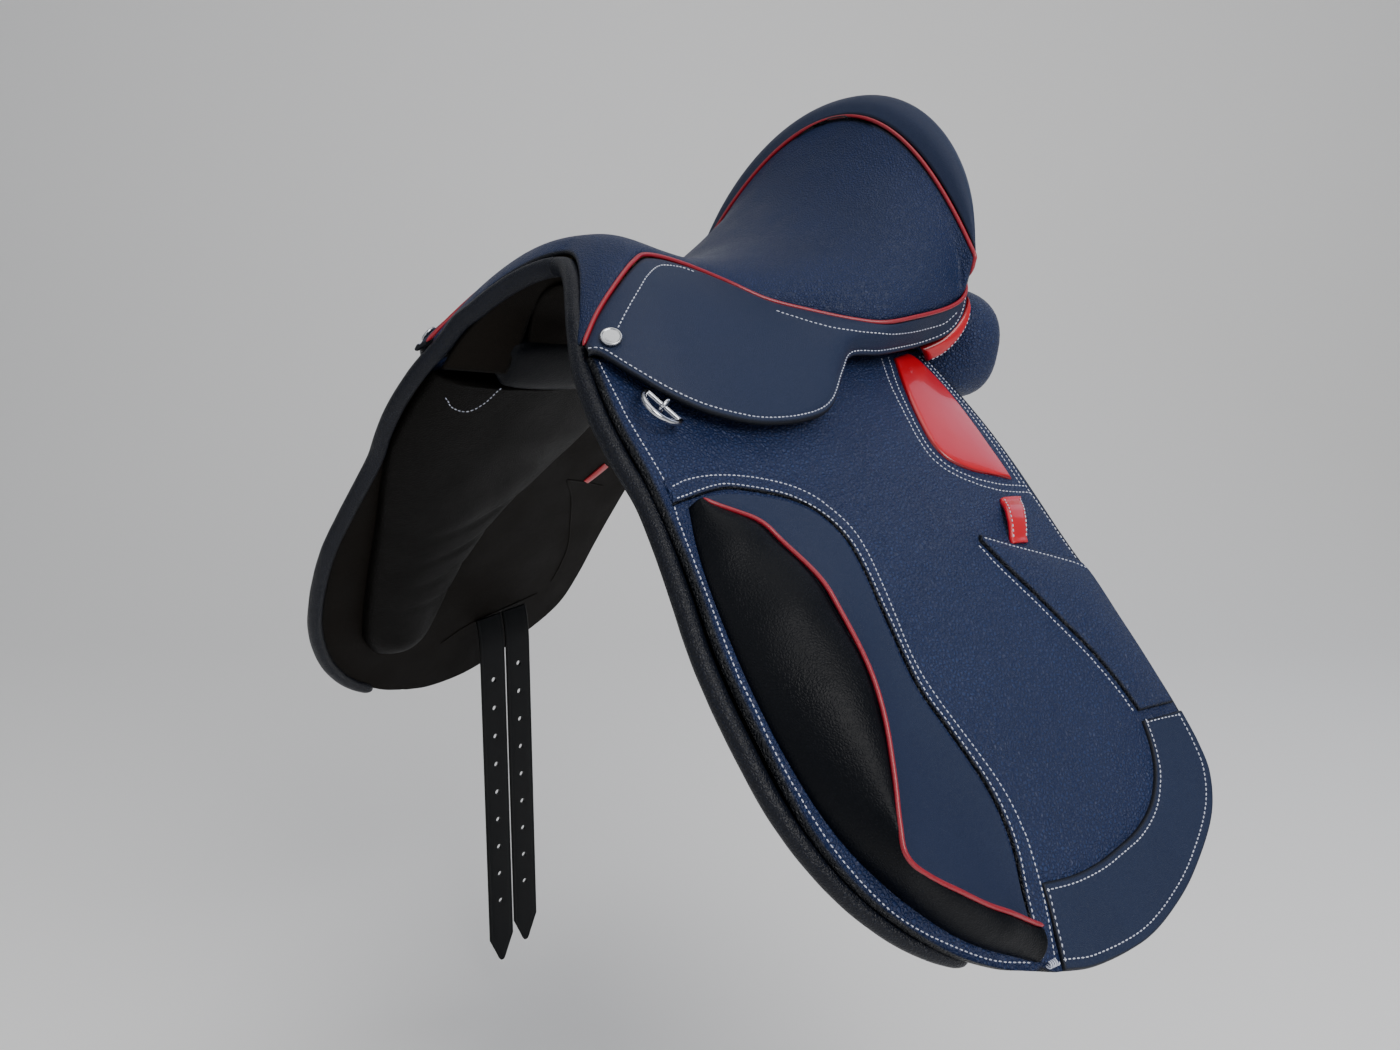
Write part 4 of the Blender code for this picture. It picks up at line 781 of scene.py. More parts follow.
# Stitching.
def stitch_tree():
    """Geometry nodes: saddler's stitches laid at a pitch along a line."""
    tree = bpy.data.node_groups.new("saddlers_stitch", "GeometryNodeTree")
    face = tree.interface
    face.new_socket("Line", in_out="INPUT", socket_type="NodeSocketGeometry")
    for name, value in (("Pitch", STITCH_PITCH), ("Length", STITCH_LENGTH), ("Radius", STITCH_R)):
        socket = face.new_socket(name, in_out="INPUT", socket_type="NodeSocketFloat")
        socket.default_value = value * MM
    face.new_socket("Thread", in_out="INPUT", socket_type="NodeSocketMaterial")
    face.new_socket("Stitches", in_out="OUTPUT", socket_type="NodeSocketGeometry")
    given = add(tree, "NodeGroupInput").outputs
    path = add(tree, "GeometryNodeMeshToCurve", {"Mesh": given["Line"]})
    spots = add(tree, "GeometryNodeResampleCurve", {"Curve": path.outputs["Curve"],
                                                    "Length": given["Pitch"]}, mode="LENGTH")
    grain = add(tree, "GeometryNodeMeshUVSphere", {"Segments": 7, "Rings": 5, "Radius": 1.0})
    half = add(tree, "ShaderNodeMath", {0: given["Length"], 1: 0.5}, operation="MULTIPLY")
    size = add(tree, "ShaderNodeCombineXYZ", {"X": given["Radius"], "Y": given["Radius"],
                                              "Z": half.outputs["Value"]})
    way = add(tree, "GeometryNodeInputTangent")
    turn = add(tree, "FunctionNodeAlignRotationToVector", {"Vector": way.outputs["Tangent"]}, axis="Z")
    copies = add(tree, "GeometryNodeInstanceOnPoints", {
        "Points": spots.outputs["Curve"], "Instance": grain.outputs["Mesh"],
        "Rotation": turn.outputs["Rotation"], "Scale": size.outputs["Vector"]})
    real = add(tree, "GeometryNodeRealizeInstances", {"Geometry": copies.outputs["Instances"]})
    soft = add(tree, "GeometryNodeSetShadeSmooth", {"Geometry": real.outputs["Geometry"]})
    done = add(tree, "GeometryNodeSetMaterial", {"Geometry": soft.outputs["Geometry"],
                                                 "Material": given["Thread"]})
    add(tree, "NodeGroupOutput", {"Stitches": done.outputs["Geometry"]})
    return tree


STITCHES = stitch_tree()


def laid(points, carrier, per, step, least):
    """Spots a step apart along a smooth line on the carrier, in metres, with the normals there."""
    mesh = carrier.data
    surface = BVHTree.FromPolygons([v.co for v in mesh.vertices], [p.vertices for p in mesh.polygons])
    points = np.array(points, float)
    count = max(least, int(run_of(points)[-1] / step))
    line = at(curve_through(points, per), even(count))
    return [surface.find_nearest(Vector(p) * MM)[:2] for p in line]


def sewn(name, lines, carrier):
    """Rows of stitches laid on a carrier's surface, as one mesh."""
    points, edges = [], []
    for line in lines:
        start = len(points)
        points += [spot + normal * STITCH_LIFT * MM for spot, normal in laid(line, carrier, 10, 2.0, 8)]
        edges += [(k, k + 1) for k in range(start, len(points) - 1)]
    wire = bpy.data.meshes.new(name)
    wire.from_pydata(points, edges, [])
    obj = linked(name, wire)
    maker = obj.modifiers.new("stitches", "NODES")
    maker.node_group = STITCHES
    for socket in STITCHES.interface.items_tree:
        if socket.name == "Thread":
            maker[socket.identifier] = THREAD
    graph = bpy.context.evaluated_depsgraph_get()
    made = bpy.data.meshes.new_from_object(obj.evaluated_get(graph))
    obj.modifiers.clear()
    obj.data = made
    made.name = name
    if not made.materials:
        made.materials.append(THREAD)
    return obj


def bead(name, points, carrier, radius, material, sink=0.35):
    """A thin welt half sunk in its carrier, where two leathers are joined."""
    spots = [np.array(spot) / MM - sink * radius * np.array(normal)
             for spot, normal in laid(points, carrier, 12, 2.5, 12)]
    return tube(name, spots, radius, material, 10)


# Seat and cantle.
def across_seat(station, inset=0.0, count=121):
    """A line from side to side over the seat, its ends moved in by the inset."""
    (cy, cz), side, square = station
    side = np.array(side, float)
    side = side + inset * unit(np.array((0, cy, cz)) - side)
    t = np.linspace(-1, 1, count)
    turn = np.radians(90) * np.abs(t)
    drop = 1 - np.maximum(np.cos(turn), 0) ** (2 * square)
    x = np.sign(t) * side[0] * np.sin(turn)
    return np.stack([x, cy + (side[1] - cy) * drop ** 0.75, cz + (side[2] - cz) * drop], axis=1)


def hemmed(line, hem):
    """A line across the seat with a hem turned under at both ends."""
    left = np.array(hem, float)
    return np.concatenate([[left * (-1, 1, 1)], line, [left]])


def seat_grid():
    """Rows across the seat from pommel to cantle; those beside the piping are held back by it."""
    lines = []
    for i, station in enumerate(SEAT_STATIONS):
        piped = 1 < i < len(SEAT_STATIONS) - len(SEAT_HEMS)
        line = across_seat(station, inset=2.2 if piped else 0.0)
        if piped:
            (cy, cz), side, _ = station
            hem = np.array(side) + 5.0 * unit(np.array((0, cy, cz)) - np.array(side, float)) - (0, 0, 3)
        else:
            hem = POMMEL_HEMS[i] if i < 2 else SEAT_HEMS[i - len(SEAT_STATIONS)]
        lines.append(at(hemmed(line, hem), steps(260, 2.6, SEAM_NEAR)))
    return curve_through(lines, 6)


def seat_pieces():
    """The dished seat, the cantle behind it, and the red piping in their seams."""
    grid = seat_grid()
    seat = shell("seat_leather", grid, COVER_THICK, (0, 0, -120), SEAT_NAVY, lift=0.35 * rough(grid, 38.0))
    put(seat, "saddle", "navy_leather", "seat_cover", fill=0.9)

    rows = [at(hemmed(across_seat(s), h), steps(330, 3.0, SEAM_NEAR))
            for s, h in zip(CANTLE_STATIONS, CANTLE_HEMS)]
    cantle = shell("cantle_leather", curve_through(rows, 7), COVER_THICK, (0, 120, 60), SMOOTH_NAVY)
    put(cantle, "saddle", "navy_leather", "cantle_cover", fill=0.9)

    ends = np.array(CANTLE_SEAM_FOOT, float)
    seam = np.concatenate([ends[::-1] * (-1, 1, 1), across_seat(CANTLE_SEAM, count=61), ends])
    cord = tube("cantle_piping_cord", at(seam, even(180)), PIPING_R, PIPING)
    put(cord, "saddle", "red_leather", "cantle_piping")

    line = at(curve_through(SEAT_SEAM), even(260))
    hang(tube("seat_piping_cord", line, PIPING_R, PIPING), "red_leather", "seat_piping", body="saddle")


# Skirt.
def skirt_lines():
    """Lines from the seat's seam to the skirt's free edge, dense both ways."""
    edge = [on_flap(y, z, lift) for y, z, lift in SKIRT_EDGE_ON_FLAP] + list(SKIRT_EDGE_BEHIND)
    away = np.array((0.78, 0.0, 0.62))
    t = even(33)[:, None]
    rows = []
    for i, (top, low) in enumerate(zip(np.array(SEAT_SEAM, float), edge)):
        room = SKIRT_ROOM * math.sin(math.pi * min(1.0, i / len(SKIRT_EDGE_ON_FLAP)))
        rows.append(top + t * (np.array(low, float) - top) + room * arch(t, 0.8) * away)
    return curve_through(rows, 10)


def skirt_grid(first=1.6, count=34):
    """The skirt's outer face; rows start this far under the piping."""
    near = np.array(SKIRT_NEAR)
    rows = []
    for line in skirt_lines():
        total = run_of(line)[-1]
        ends = near * min(1.0, 0.45 * total / near[-1])
        shares = np.concatenate([np.linspace(first, total - ends[-1], count)[:-1], total - ends[::-1]])
        rows.append(at(line, shares / total))
    grid = np.array(rows)
    total = run_of(grid[:, -1])[-1]
    return np.stack([at(grid[:, j], steps(total, 2.6)) for j in range(grid.shape[1])], axis=1)


def skirt_pieces():
    """The skirt, its edge stitches and the seam's on its top."""
    grid = skirt_grid()
    over, to_edge = edge_distances(grid)[2:]
    rolled = 0.7 * np.exp(-((to_edge - 2.6) / 1.7) ** 2) + groove(to_edge - 5.2, 0.55, 0.9)
    seat_side = -0.5 * np.exp(-(over / 2.5) ** 2)
    made = shell("skirt_leather", grid, SKIRT_THICK, (0, 0, -60), SMOOTH_NAVY,
                 lift=rolled + seat_side + 0.25 * rough(grid, 45.0))
    near_edge = grid[4:-4, -8]
    edge_row = near_edge[:int(0.93 * len(near_edge))]
    rows = sewn("skirt_edge_stitches", [edge_row[::3]], made)
    decor = sewn("skirt_seam_stitches", [SKIRT_FRONT_DECOR, SKIRT_REAR_DECOR], made)
    pairs = [both(obj) for obj in (made, rows, decor)]
    for side in SIDES:
        leather, edge, seam = (pair[side] for pair in pairs)
        start, end = (mirrored(point, side) for point in SKIRT_BEND)
        for obj in (leather, edge):
            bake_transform(obj)
            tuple(start)
            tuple(end)
        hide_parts("skirt_top_" + side, "skirt_" + side)
        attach(seam, "saddle")


# Flap and what is sewn on it.
def flap_pieces():
    """The grained flap, with a rolled front edge and grooves under its rows of stitches."""
    along = steps(330, 3.2, EDGE_NEAR + (4.0,))
    across = steps(310, 3.4, EDGE_NEAR + (3.3, 4.2, 5.0, 5.8, 6.6, 7.6, 9.0, 11.0))
    y, z = feet(FLAP_FRONT, FLAP_REAR, along, across)
    behind = REAR_STITCHES + (INSET_STITCH_IN, INSET_STITCH_OUT, GUSSET_SEAM)
    lift = groove(line_distance(y, z, FRONT_STITCH), 0.6, 1.3)
    for seam in behind:
        lift = lift + groove(line_distance(y, z, seam), 0.4, 1.5)
    flat = on_flap(y, z)
    front = edge_distances(flat)[2]
    lift = lift + 0.8 * np.exp(-((front - 2.4) / 2.0) ** 2) + 0.5 * rough(flat, 55.0)
    made = shell("flap_leather", flat, FLAP_THICK, (0, 0, -150), GRAIN_NAVY, lift=lift, rim_mm=2.4)
    hang(made, "grain_leather", "flap")
    hang(sewn("flap_stitches", [line_on_flap(s) for s in (FRONT_STITCH,) + behind], made))


def heights(along):
    """The knee block's height over the flap, along its ridge."""
    table = np.array(BLOCK_HEIGHTS)
    s = np.clip(np.asarray(along, float), 0, 1)
    k = np.clip(np.searchsorted(table[:, 0], s) - 1, 0, len(table) - 2)
    t = (s - table[k, 0]) / (table[k + 1, 0] - table[k, 0])
    return table[k, 1] + (table[k + 1, 1] - table[k, 1]) * t * t * (3 - 2 * t)


def knee_pieces():
    """The knee block: puckered black crown, plain wall, and piping on the ridge between."""
    long, wide = 300, 60
    along = steps(long, 2.8, (0.0, 0.6, 1.4, 2.6))
    across = steps(wide, 1.7, (0.0, 0.5, 1.2, 2.2, 3.4))
    u, v = along[:, None], across[None, :]
    y, z = feet(BLOCK_FRONT, BLOCK_RIDGE, along, across)
    flat = on_flap(y, z)
    rise = np.sin(np.pi / 2 * np.clip(v, 0, 1)) ** 0.62
    crown = 0.8 + (heights(u) - 0.8) * rise + 2.6 * np.sin(np.pi * v)
    front = edge_distances(flat)[2]
    pucker = 0.45 * np.exp(-front / 8.0) * np.sin(2 * np.pi * (u * long) / 7.3 + 3 * rough(flat, 20.0))
    crown = crown + pucker + 0.7 * rough(flat, 26.0) * np.minimum(1, front / 10)
    crown = crown + groove((1 - v) * wide, 1.3, 3.0)
    hang(flap_slab("knee_block_leather", y, z, crown, -1.0, BLACK), "black_leather", "knee_block", fill=0.8)

    across = steps(wide, 2.2, (0.0, 0.5, 1.2, 2.2))
    v = across[None, :]
    y, z = feet(BLOCK_RIDGE, BLOCK_REAR, along, across)
    wall = 1.8 + (heights(u) - 1.8) * (1 - v) ** 2.6 + groove(v * wide, 1.1, 2.5)
    hang(flap_slab("knee_wall_leather", y, z, wall, -1.0, SMOOTH_NAVY), "navy_leather", "knee_wall")

    shares = even(200)
    cord = line_on_flap(at(curve_through(BLOCK_RIDGE), shares), heights(shares) + 0.6)
    hang(tube("knee_piping_cord", cord, PIPING_R - 0.1, PIPING), "red_leather", "knee_piping")


def stitched(name, made, lines, lift, slot, node):
    """Hangs a patch of the flap and the stitches that hold it."""
    hang(made, slot, node)
    hang(sewn(name, [line_on_flap(s, lift) for s in lines], made))


def band_pieces():
    """Bands sewn on the flap, the gusset between them, the red inset and the foot's whipping."""
    turns = np.linspace(0, WHIP_TURNS * 2 * math.pi, 90)
    y, z = WHIP_AT
    out, down = outward(*map(np.float64, WHIP_FACING)), np.array(WHIP_DOWN)
    whip = on_flap(y - WHIP_PITCH * turns / 6.28, z + 0 * turns, WHIP_LIFT) \
        + WHIP_R * (np.cos(turns)[:, None] * out + np.sin(turns)[:, None] * down)
    hang(tube("band_foot_whipping", whip, 0.5, THREAD, 8))

    seams = (BAND_STITCH_OUT, BAND_STITCH_IN)
    band = patch("knee_band_leather", BAND_OUTER, BAND_INNER, 2.2, GRAIN_NAVY, steps(420, 2.4),
                 steps(9.0, 0.85, (0.0, 0.25, 0.6, 1.1)), seams=seams, dressed=(3,),
                 slope=lambda u, v: 0.3 + 0.7 * np.clip(v * 1.6, 0, 1) + 0 * u)
    stitched("knee_band_stitches", band, seams, 2.2, "navy_leather", "knee_band")

    seams = (LOWER_STITCH_OUT, LOWER_STITCH_IN)
    low = patch("lower_band_leather", LOWER_BAND_INNER, LOWER_BAND_OUTER, 2.0, SMOOTH_NAVY,
                steps(260, 2.6), steps(38, 2.4, EDGE_FINE), seams=seams)
    stitched("lower_band_stitches", low, seams + (LOWER_END_STITCH, LOWER_FOOT_STITCH), 2.0,
             "navy_leather", "lower_band")

    gusset = patch("flap_gusset_leather", GUSSET_LOWER, GUSSET_UPPER, 2.0, GRAIN_NAVY,
                   steps(120, 2.4), steps(40, 2.2, EDGE_FINE), seams=(GUSSET_STITCH,),
                   puff=lambda u, v: 3.0 * np.sin(np.pi * v) * arch(u, 0.5))
    stitched("flap_gusset_stitches", gusset, (GUSSET_STITCH,), 2.0, "navy_leather", "flap_gusset")

    inset = patch("flap_inset_patent", INSET_FRONT, INSET_REAR, 1.6, PATENT, steps(90, 2.0),
                  steps(45, 1.8), round_mm=2.6, puff=lambda u, v: 1.9 * arch(v, 0.8) * arch(u, 0.6))
    hang(inset, "red_patent", "flap_inset")


def keeper_pieces():
    """The red loop that stands off the flap's rear edge."""
    t = even(41)
    line = at(curve_through(KEEPER_LINE), t)
    side = np.interp(t, (0, 1), KEEPER_WIDE)[:, None] / 2 * np.array((1.0, -0.05))
    stand = 3.6 * np.clip(np.sin(np.pi * t) * 1.5 - 0.45, 0, 1)
    top, under = [], []
    for a, h in KEEPER_CROWN:
        top.append(line_on_flap(line + a * side, 0.4 + stand + h))
        under.append(line_on_flap(line + a * side, 0.1 + stand + 0.3 * (1 - abs(a))))
    made = slab("keeper_patent", np.array(top), np.array(under), PATENT)
    hang(made, "red_patent", "billet_keeper")
    rows = [line_on_flap(line + a * side, 0.4 + stand + 2.5)[3:-3:4] for a in (-0.78, 0.78)]
    hang(sewn("keeper_stitches", rows, made))


# Inside of the flap.
def inner_pieces():
    """The flap's lining, the keeper's tail through it, and the folded inner cushion."""
    front = [(y + 1.5, z + (0 if z > -60 else 2)) for y, z in FLAP_FRONT]
    rear = [(y - 4, z + 4) for y, z in FLAP_REAR]
    front[0] = (front[0][0], LINING_TOP)
    rear[0] = (rear[0][0] - 5, LINING_TOP)
    y, z = feet(front, rear, steps(320, 4), steps(300, 4))
    made = shell("flap_lining_leather", on_flap(y, z, LINING_LIFT), LINING_THICK, (0, 0, -150), BROWN_BLACK)
    under = LINING_LIFT - LINING_THICK
    for k, points in enumerate(LINING_WELTS):
        hang(bead("lining_welt_%d" % k, line_on_flap(points, under), made, 1.1, BROWN_BLACK))
    hang(made, "black_leather", "flap_lining")

    t, v = steps(21, 1.2), steps(9, 0.9)
    y, z = feet(*KEEPER_TAIL, t, v)
    dome = np.maximum(np.sin(np.pi * t)[:, None] * np.sin(np.pi * v)[None, :], 0)
    hang(flap_slab("keeper_tail_patent", y, z, under - 0.8 - 1.2 * dome ** 0.4, under + 0.3, PATENT),
         "red_patent")

    base, long = under - 0.2, 255
    along = steps(long, 2.6, (0.0, 0.8, 2.0))
    across = steps(130, 2.6, (0.0, 0.4, 1.2, 2.4, 4.0, 6.0))
    u, v = along[:, None], across[None, :]
    y, z = feet(TONGUE_FRONT, TONGUE_REAR, along, across)
    flat = on_flap(y, z)
    bulge = arch(np.clip(v, 0, 1), 0.38)
    foot_end = np.clip((1 - u) * long / 26, 0, 1)
    ends = np.sqrt(np.maximum(1 - (1 - foot_end) ** 2, 0))
    depth = 1.0 + 22 * bulge * ends
    for z0, lean, deep in TONGUE_FOLDS:
        off = z - (z0 + lean * (y + 110)) + 5 * rough(flat, 60.0, z0)
        depth = depth + groove(off, deep, 4.2) * np.clip(v * 1.5 - 0.35, 0, 1) * bulge
    depth = depth + 1.2 * rough(flat, 34.0) * bulge * ends
    pad = flap_slab("panel_tongue_leather", y, z, base - depth, base, TONGUE_BLACK)
    hang(sewn("panel_tongue_stitches", [line_on_flap(POCKET_STITCH, -45)], pad))
    hang(pad, "black_leather", "panel_tongue", fill=0.7)


# Panels, gullet and the front roll.
def softened(rings, share, size_mm):
    """Rings that swell and shrink a little, as stuffing does."""
    middles = rings.mean(axis=1, keepdims=True)
    return middles + (rings - middles) * (1.0 + share * rough(rings, size_mm))[..., None]


def panel_pieces():
    """The stuffed panels that lie on the horse."""
    turns = around(48)
    square = 0.8
    across, up = (np.sign(w) * np.abs(w) ** square for w in (np.cos(turns), np.sin(turns)))
    rings = []
    for y, cx, cz, wide, high, tilt in PANEL_STATIONS:
        cos, sin = math.cos(math.radians(tilt)), math.sin(math.radians(tilt))
        rings.append(np.stack([cx + wide * across * cos + high * up * sin, np.full(len(turns), float(y)),
                               cz - wide * across * sin + high * up * cos], axis=1))
    rings = curve_through(rings, 8)
    ends = []
    for ring, way in ((rings[0], -1), (rings[-1], 1)):
        middle = ring.mean(0)
        ends.append([middle + (ring - middle) * s + np.array((0, way * o, 0)) for s, o in PANEL_DOME])
    rings = np.concatenate([np.array(ends[0][::-1]), rings, np.array(ends[1])])
    body = rings_piece("panel_leather", softened(rings, 0.012, 40.0), GRAIN_NAVY)
    # The front part gets black leather: partly the panel's own colour, partly painted shade where the front
    # lies in shadow.
    body.data.materials.append(BLACK)
    for face in body.data.polygons:
        face.material_index = 1 if face.center.y < PANEL_BLACK_AND_SHADE_TO * MM else 0
    hang(body, "black_leather", "panel", body="saddle", fill=0.85)


def roll_pieces():
    """The stuffed roll round the pommel's arch and on down each flap's front, in two halves."""
    half = list(ARCH_LINE) + [on_flap(y, z, ROLL_LIFT) for y, z in ROLL_LINE]
    whole = curve_through(doubled(half), 12)
    middle, count = len(whole) // 2, 240
    run = even(count)
    line = np.concatenate([at(whole[:middle + 1], run)[:-1], at(whole[middle:], run)])
    thick = np.interp(run, *zip(*ROLL_RADII)) * rounded_ends(1.0, 2 * count, 5)[count:]
    thick = np.concatenate([thick[:0:-1], thick])
    rings = softened(rings_along(line, thick, 24)[count - 1:], 0.03, 16.0)
    rings[0, :, 0] = 0.0
    for side, obj in both(rings_piece("front_roll_leather", rings, ROLL_NAVY)).items():
        start, end = (mirrored(point, side) for point in ROLL_BEND)
        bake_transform(obj)
        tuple(start)
        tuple(end)
        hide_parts("front_roll_" + side, *(("arch_roll",) if side == "L" else ()))


def mirrored_row(half, count):
    """Even points on the smooth line that a half and its mirror image make."""
    return at(curve_through(doubled(half), 6), even(count))


def facing(name, first, last, shares, count, per, away, material):
    """A thin leather between two lines across the saddle's middle."""
    first, last = np.array(first, float), np.array(last, float)
    rows = [mirrored_row(first * (1 - s) + last * s, count) for s in shares]
    put(shell(name, curve_through(rows, per), 2.0, away, material), "saddle", "black_leather")


def underside_pieces():
    """Facings in the arch and under the cantle, the gullet's lining and the rear gussets."""
    facing("pommel_facing", ARCH_FRONT, ARCH_REAR, (0.0, 0.35, 0.7, 1.0), 90, 8, (0, -130, 200), BROWN_BLACK)
    facing("rear_facing", CANTLE_FOOT, TREE_END, (0.0, 0.5, 1.0), 100, 10, (0, 250, 20), BLACK)

    rows = []
    for y, top, ceiling, low, depth, hem, hem_z in GULLET_STATIONS:
        fall, out = ceiling - depth, low - top
        rows.append(mirrored_row([
            (0, y, ceiling), (top, y, ceiling), (top + 0.55 * out, y, ceiling - 0.2 * fall),
            (top + 0.85 * out, y, ceiling - 0.55 * fall), (low, y, depth), (hem, y, hem_z)], 40))
    lining = shell("gullet_leather", curve_through(rows, 8), 2.4, (0, 20, 200), BROWN_BLACK)
    put(lining, "saddle", "black_leather", "gullet_lining")

    t, s = steps(62, 1.5), steps(16, 1.0)
    a, b = (at(curve_through(line), t)[:, None] for line in (PANEL_GUSSET_UPPER, PANEL_GUSSET_LOWER))
    grid = a + (b - a) * s[None, :, None]
    grid[..., 0] += 2.4 * np.sin(np.pi * t)[:, None] * np.sin(np.pi * s)[None, :]
    made = shell("panel_gusset_patent", grid, 7.0, (0, 110, -20), PATENT)
    row = grid[6:-6:3, int(0.8 * grid.shape[1])]
    hang(sewn("panel_gusset_stitches", [row], made), body="saddle")
    hang(made, "red_patent", "panel_gusset", body="saddle")


# Metal.
def metal_pieces():
    """The plain nail head, the D-ring and its staple."""
    turns = around(56)
    rings = np.array([[(max(r, 0.02) * math.cos(a), max(r, 0.02) * math.sin(a), h) for a in turns]
                      for r, h in BADGE_PROFILE])
    turn = np.array(Vector(BADGE_FACING).normalized().to_track_quat("Z", "Y").to_matrix())
    rings = rings @ turn.T + np.array(BADGE_CENTRE)
    hang(rings_piece("nail_head", rings, SILVER), "chrome", "badge_nail", body="saddle")

    centre = on_flap(*RING_FOOT, RING_LIFT)
    bar = unit(np.array(RING_BAR))
    reach = np.array(RING_REACH)
    reach = unit(reach - reach.dot(bar) * bar)
    swing = math.radians(RING_SWING)
    reach = reach * math.cos(swing) + np.cross(bar, reach) * math.sin(swing)
    turn = np.linspace(0, math.pi, 60)
    bow = centre + np.outer(-RING_HALF * np.cos(turn), bar) \
        + np.outer(RING_DEPTH * np.sin(turn) ** 0.85, reach)
    back = centre + np.outer(np.linspace(RING_HALF, -RING_HALF, 26)[1:-1], bar)
    hang(tube("d_ring_wire", np.concatenate([bow, back]), RING_WIRE, CHROME, 16, closed=True),
         "chrome", "d_ring", body="d_ring_{}")

    side = unit(np.cross(bar, outward(*map(np.float64, RING_FOOT))))
    up = np.cross(side, bar)
    turn = around(40)
    eye = centre + STAPLE_R * (np.outer(np.cos(turn), up) + np.outer(np.sin(turn), side))
    hang(tube("ring_staple", eye, STAPLE_WIRE, CHROME, 12, closed=True), "chrome", "ring_clip")


# Girth straps.
def strap_solid(name, length, width_at, bend):
    """A strap with round edges: bend gives the place of a point at a length and a depth."""
    straight = length - STRAP_POINT
    runs = np.concatenate([np.linspace(0, straight, 90), np.linspace(straight, length, 22)[1:]])
    across = steps(BILLET_W, 2.2, (0.0, 0.25, 0.7, 1.3, 2.0, 2.7, 3.4))
    top, under, rims = [], [], []
    for s in runs:
        half = width_at(s)
        y = (across - 0.5) * 2 * half
        edge = np.minimum(half - np.abs(y), length - s)
        r = BILLET_T / 2
        depth = r - rounding(edge, r) + groove(edge - 2.9, 0.35, 0.6)
        top.append([bend(s, b, d) for b, d in zip(y, depth)])
        under.append([bend(s, b, -d) for b, d in zip(y, depth)])
        rims.append(np.clip(1.5 - edge / 1.3, 0, 1))
    return slab(name, np.array(top), np.array(under), STRAP, rim=np.array(rims))


def punched(strap, holes):
    """Cuts the strap's round holes."""
    for centre in holes:
        rings = np.array([[np.array(centre) + (h, HOLE_R * math.cos(a), HOLE_R * math.sin(a))
                           for a in around(20)] for h in (-9, 9)])
        drill = rings_piece("drill", rings, STRAP)
        cut = strap.modifiers.new("hole", "BOOLEAN")
        cut.operation = "DIFFERENCE"
        cut.solver = "EXACT"
        cut.object = drill
        graph = bpy.context.evaluated_depsgraph_get()
        mesh = bpy.data.meshes.new_from_object(strap.evaluated_get(graph))
        strap.modifiers.clear()
        strap.data = mesh
        bpy.data.objects.remove(drill)
    strap.data.set_sharp_from_angle(angle=math.radians(50))


def billet_pieces():
    """The two girth straps that hang on the right."""
    for word, length, y0 in BILLETS:
        x = -(BILLET_DROP[0] - 13)
        z0 = BILLET_DROP[1] - 1 + 0.13 * y0

        def width_at(s, length=length):
            left = length - s
            if left > STRAP_POINT:
                return BILLET_W / 2
            if left > STRAP_TIP:
                return BILLET_W / 2 * (left + 4.5) / (STRAP_POINT + 4.5)
            return max(0.6, 5.7 * math.sqrt(max(left, 0.02) / STRAP_TIP))

        def bend(s, b, h, x=x, z0=z0, y0=y0):
            curl = 5.0 * max(0.0, 1 - s / 34) ** 2
            return (x - curl - h, y0 + b, z0 - s + 0.13 * b * max(0.0, 1 - s / 60))

        strap = strap_solid("girth_strap_" + word, length, width_at, bend)
        punched(strap, [(x, y0, z0 - (length - LAST_HOLE - HOLE_PITCH * k)) for k in range(HOLES)])
        strap.name = "girth_strap_%s_R" % word
        node = "billet_%s_R" % word
        put(strap, node, "black_leather", node)


# Plain nodes.
def finish_nodes():
    """The rigid nodes that show keep their shape and get their real finish."""
    finishes = {"tree": BEECH, "seat_webbing": WEB, "seat_foam": FOAM, "gullet_plate": STEEL}
    for side in SIDES:
        finishes.update({"stirrup_bar_" + side: STEEL, "bar_catch_" + side: STEEL,
                         "billet_web_" + side: WEB})
    for word in ("front", "rear"):
        finishes["billet_%s_L" % word] = STRAP
    for name, material in finishes.items():
        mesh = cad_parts[name].data
        mesh.materials.clear()
        mesh.materials.append(material)


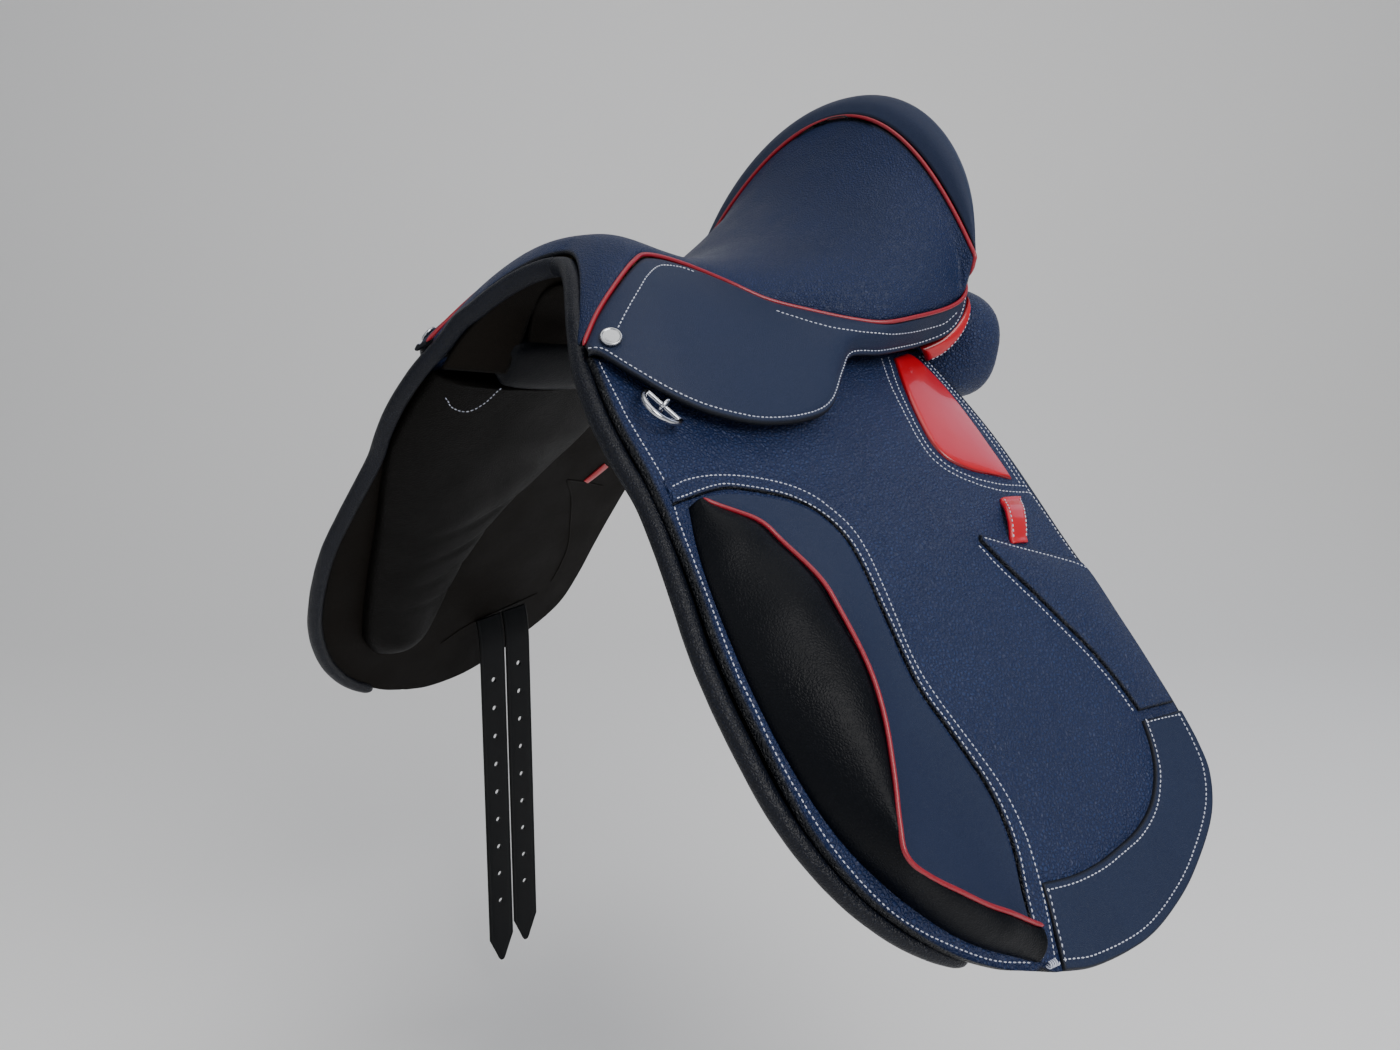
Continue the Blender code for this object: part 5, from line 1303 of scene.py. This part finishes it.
# Studio.
def studio():
    """A pale paper sweep, lamps, a soft world and the photograph's camera."""
    near, far, bend, top, half, count = -5.0, 1.6, 1.2, 4.0, 6, 12
    back = [(near, FLOOR)]
    for k in range(count + 1):
        a = math.radians(90 * k / count)
        back.append((far + bend * math.sin(a), FLOOR + bend * (1 - math.cos(a))))
    back.append((far + bend, top))
    azimuth, pitch = math.radians(VIEW_AZIMUTH), math.radians(VIEW_PITCH)
    way = Vector((-math.sin(azimuth), math.cos(azimuth), 0))
    right = Vector((math.cos(azimuth), math.sin(azimuth), 0))
    points = [(*(way * reach + right * s).xy, height) for reach, height in back for s in (-half, half)]
    faces = [(2 * k, 2 * k + 1, 2 * k + 3, 2 * k + 2) for k in range(len(back) - 1)]
    mesh = bpy.data.meshes.new("studio_floor")
    mesh.from_pydata(points, [], faces)
    mesh.shade_smooth()
    mesh.materials.append(blank("pale_paper", Roughness=0.9, Base_Color=linear("#f4f4f4"))[0])
    linked("studio_floor", mesh)

    world = bpy.data.worlds.new("studio")
    world.use_nodes = True
    sky = world.node_tree.nodes["Background"].inputs
    sky["Color"].default_value = (0.93, 0.96, 1.0, 1.0)
    sky["Strength"].default_value = 0.3
    bpy.context.scene.world = world
    for name, spot, target, colour, size, power in LAMPS:
        data = bpy.data.lights.new(name, "AREA")
        data.color = colour
        data.size = size
        data.energy = power
        lamp = linked(name, data)
        lamp.location = spot
        lamp.rotation_mode = "QUATERNION"
        lamp.rotation_quaternion = (Vector(target) - Vector(spot)).to_track_quat("-Z", "Y")

    behind = Vector((math.sin(azimuth) * math.cos(pitch), -math.cos(azimuth) * math.cos(pitch),
                     math.sin(pitch)))
    data = bpy.data.cameras.new("camera")
    data.sensor_width = 36.0
    data.lens = data.sensor_width * FOCAL_PX / PHOTO_WIDE_PX
    camera = linked("camera", data)
    camera.location = CAMERA_AT
    camera.rotation_mode = "QUATERNION"
    turn = Matrix((right, behind.cross(right), behind)).transposed()
    camera.rotation_quaternion = turn.to_quaternion()
    bpy.context.scene.camera = camera


studio()
seat_pieces()
skirt_pieces()
flap_pieces()
knee_pieces()
band_pieces()
keeper_pieces()
inner_pieces()
roll_pieces()
panel_pieces()
underside_pieces()
metal_pieces()
billet_pieces()
finish_nodes()
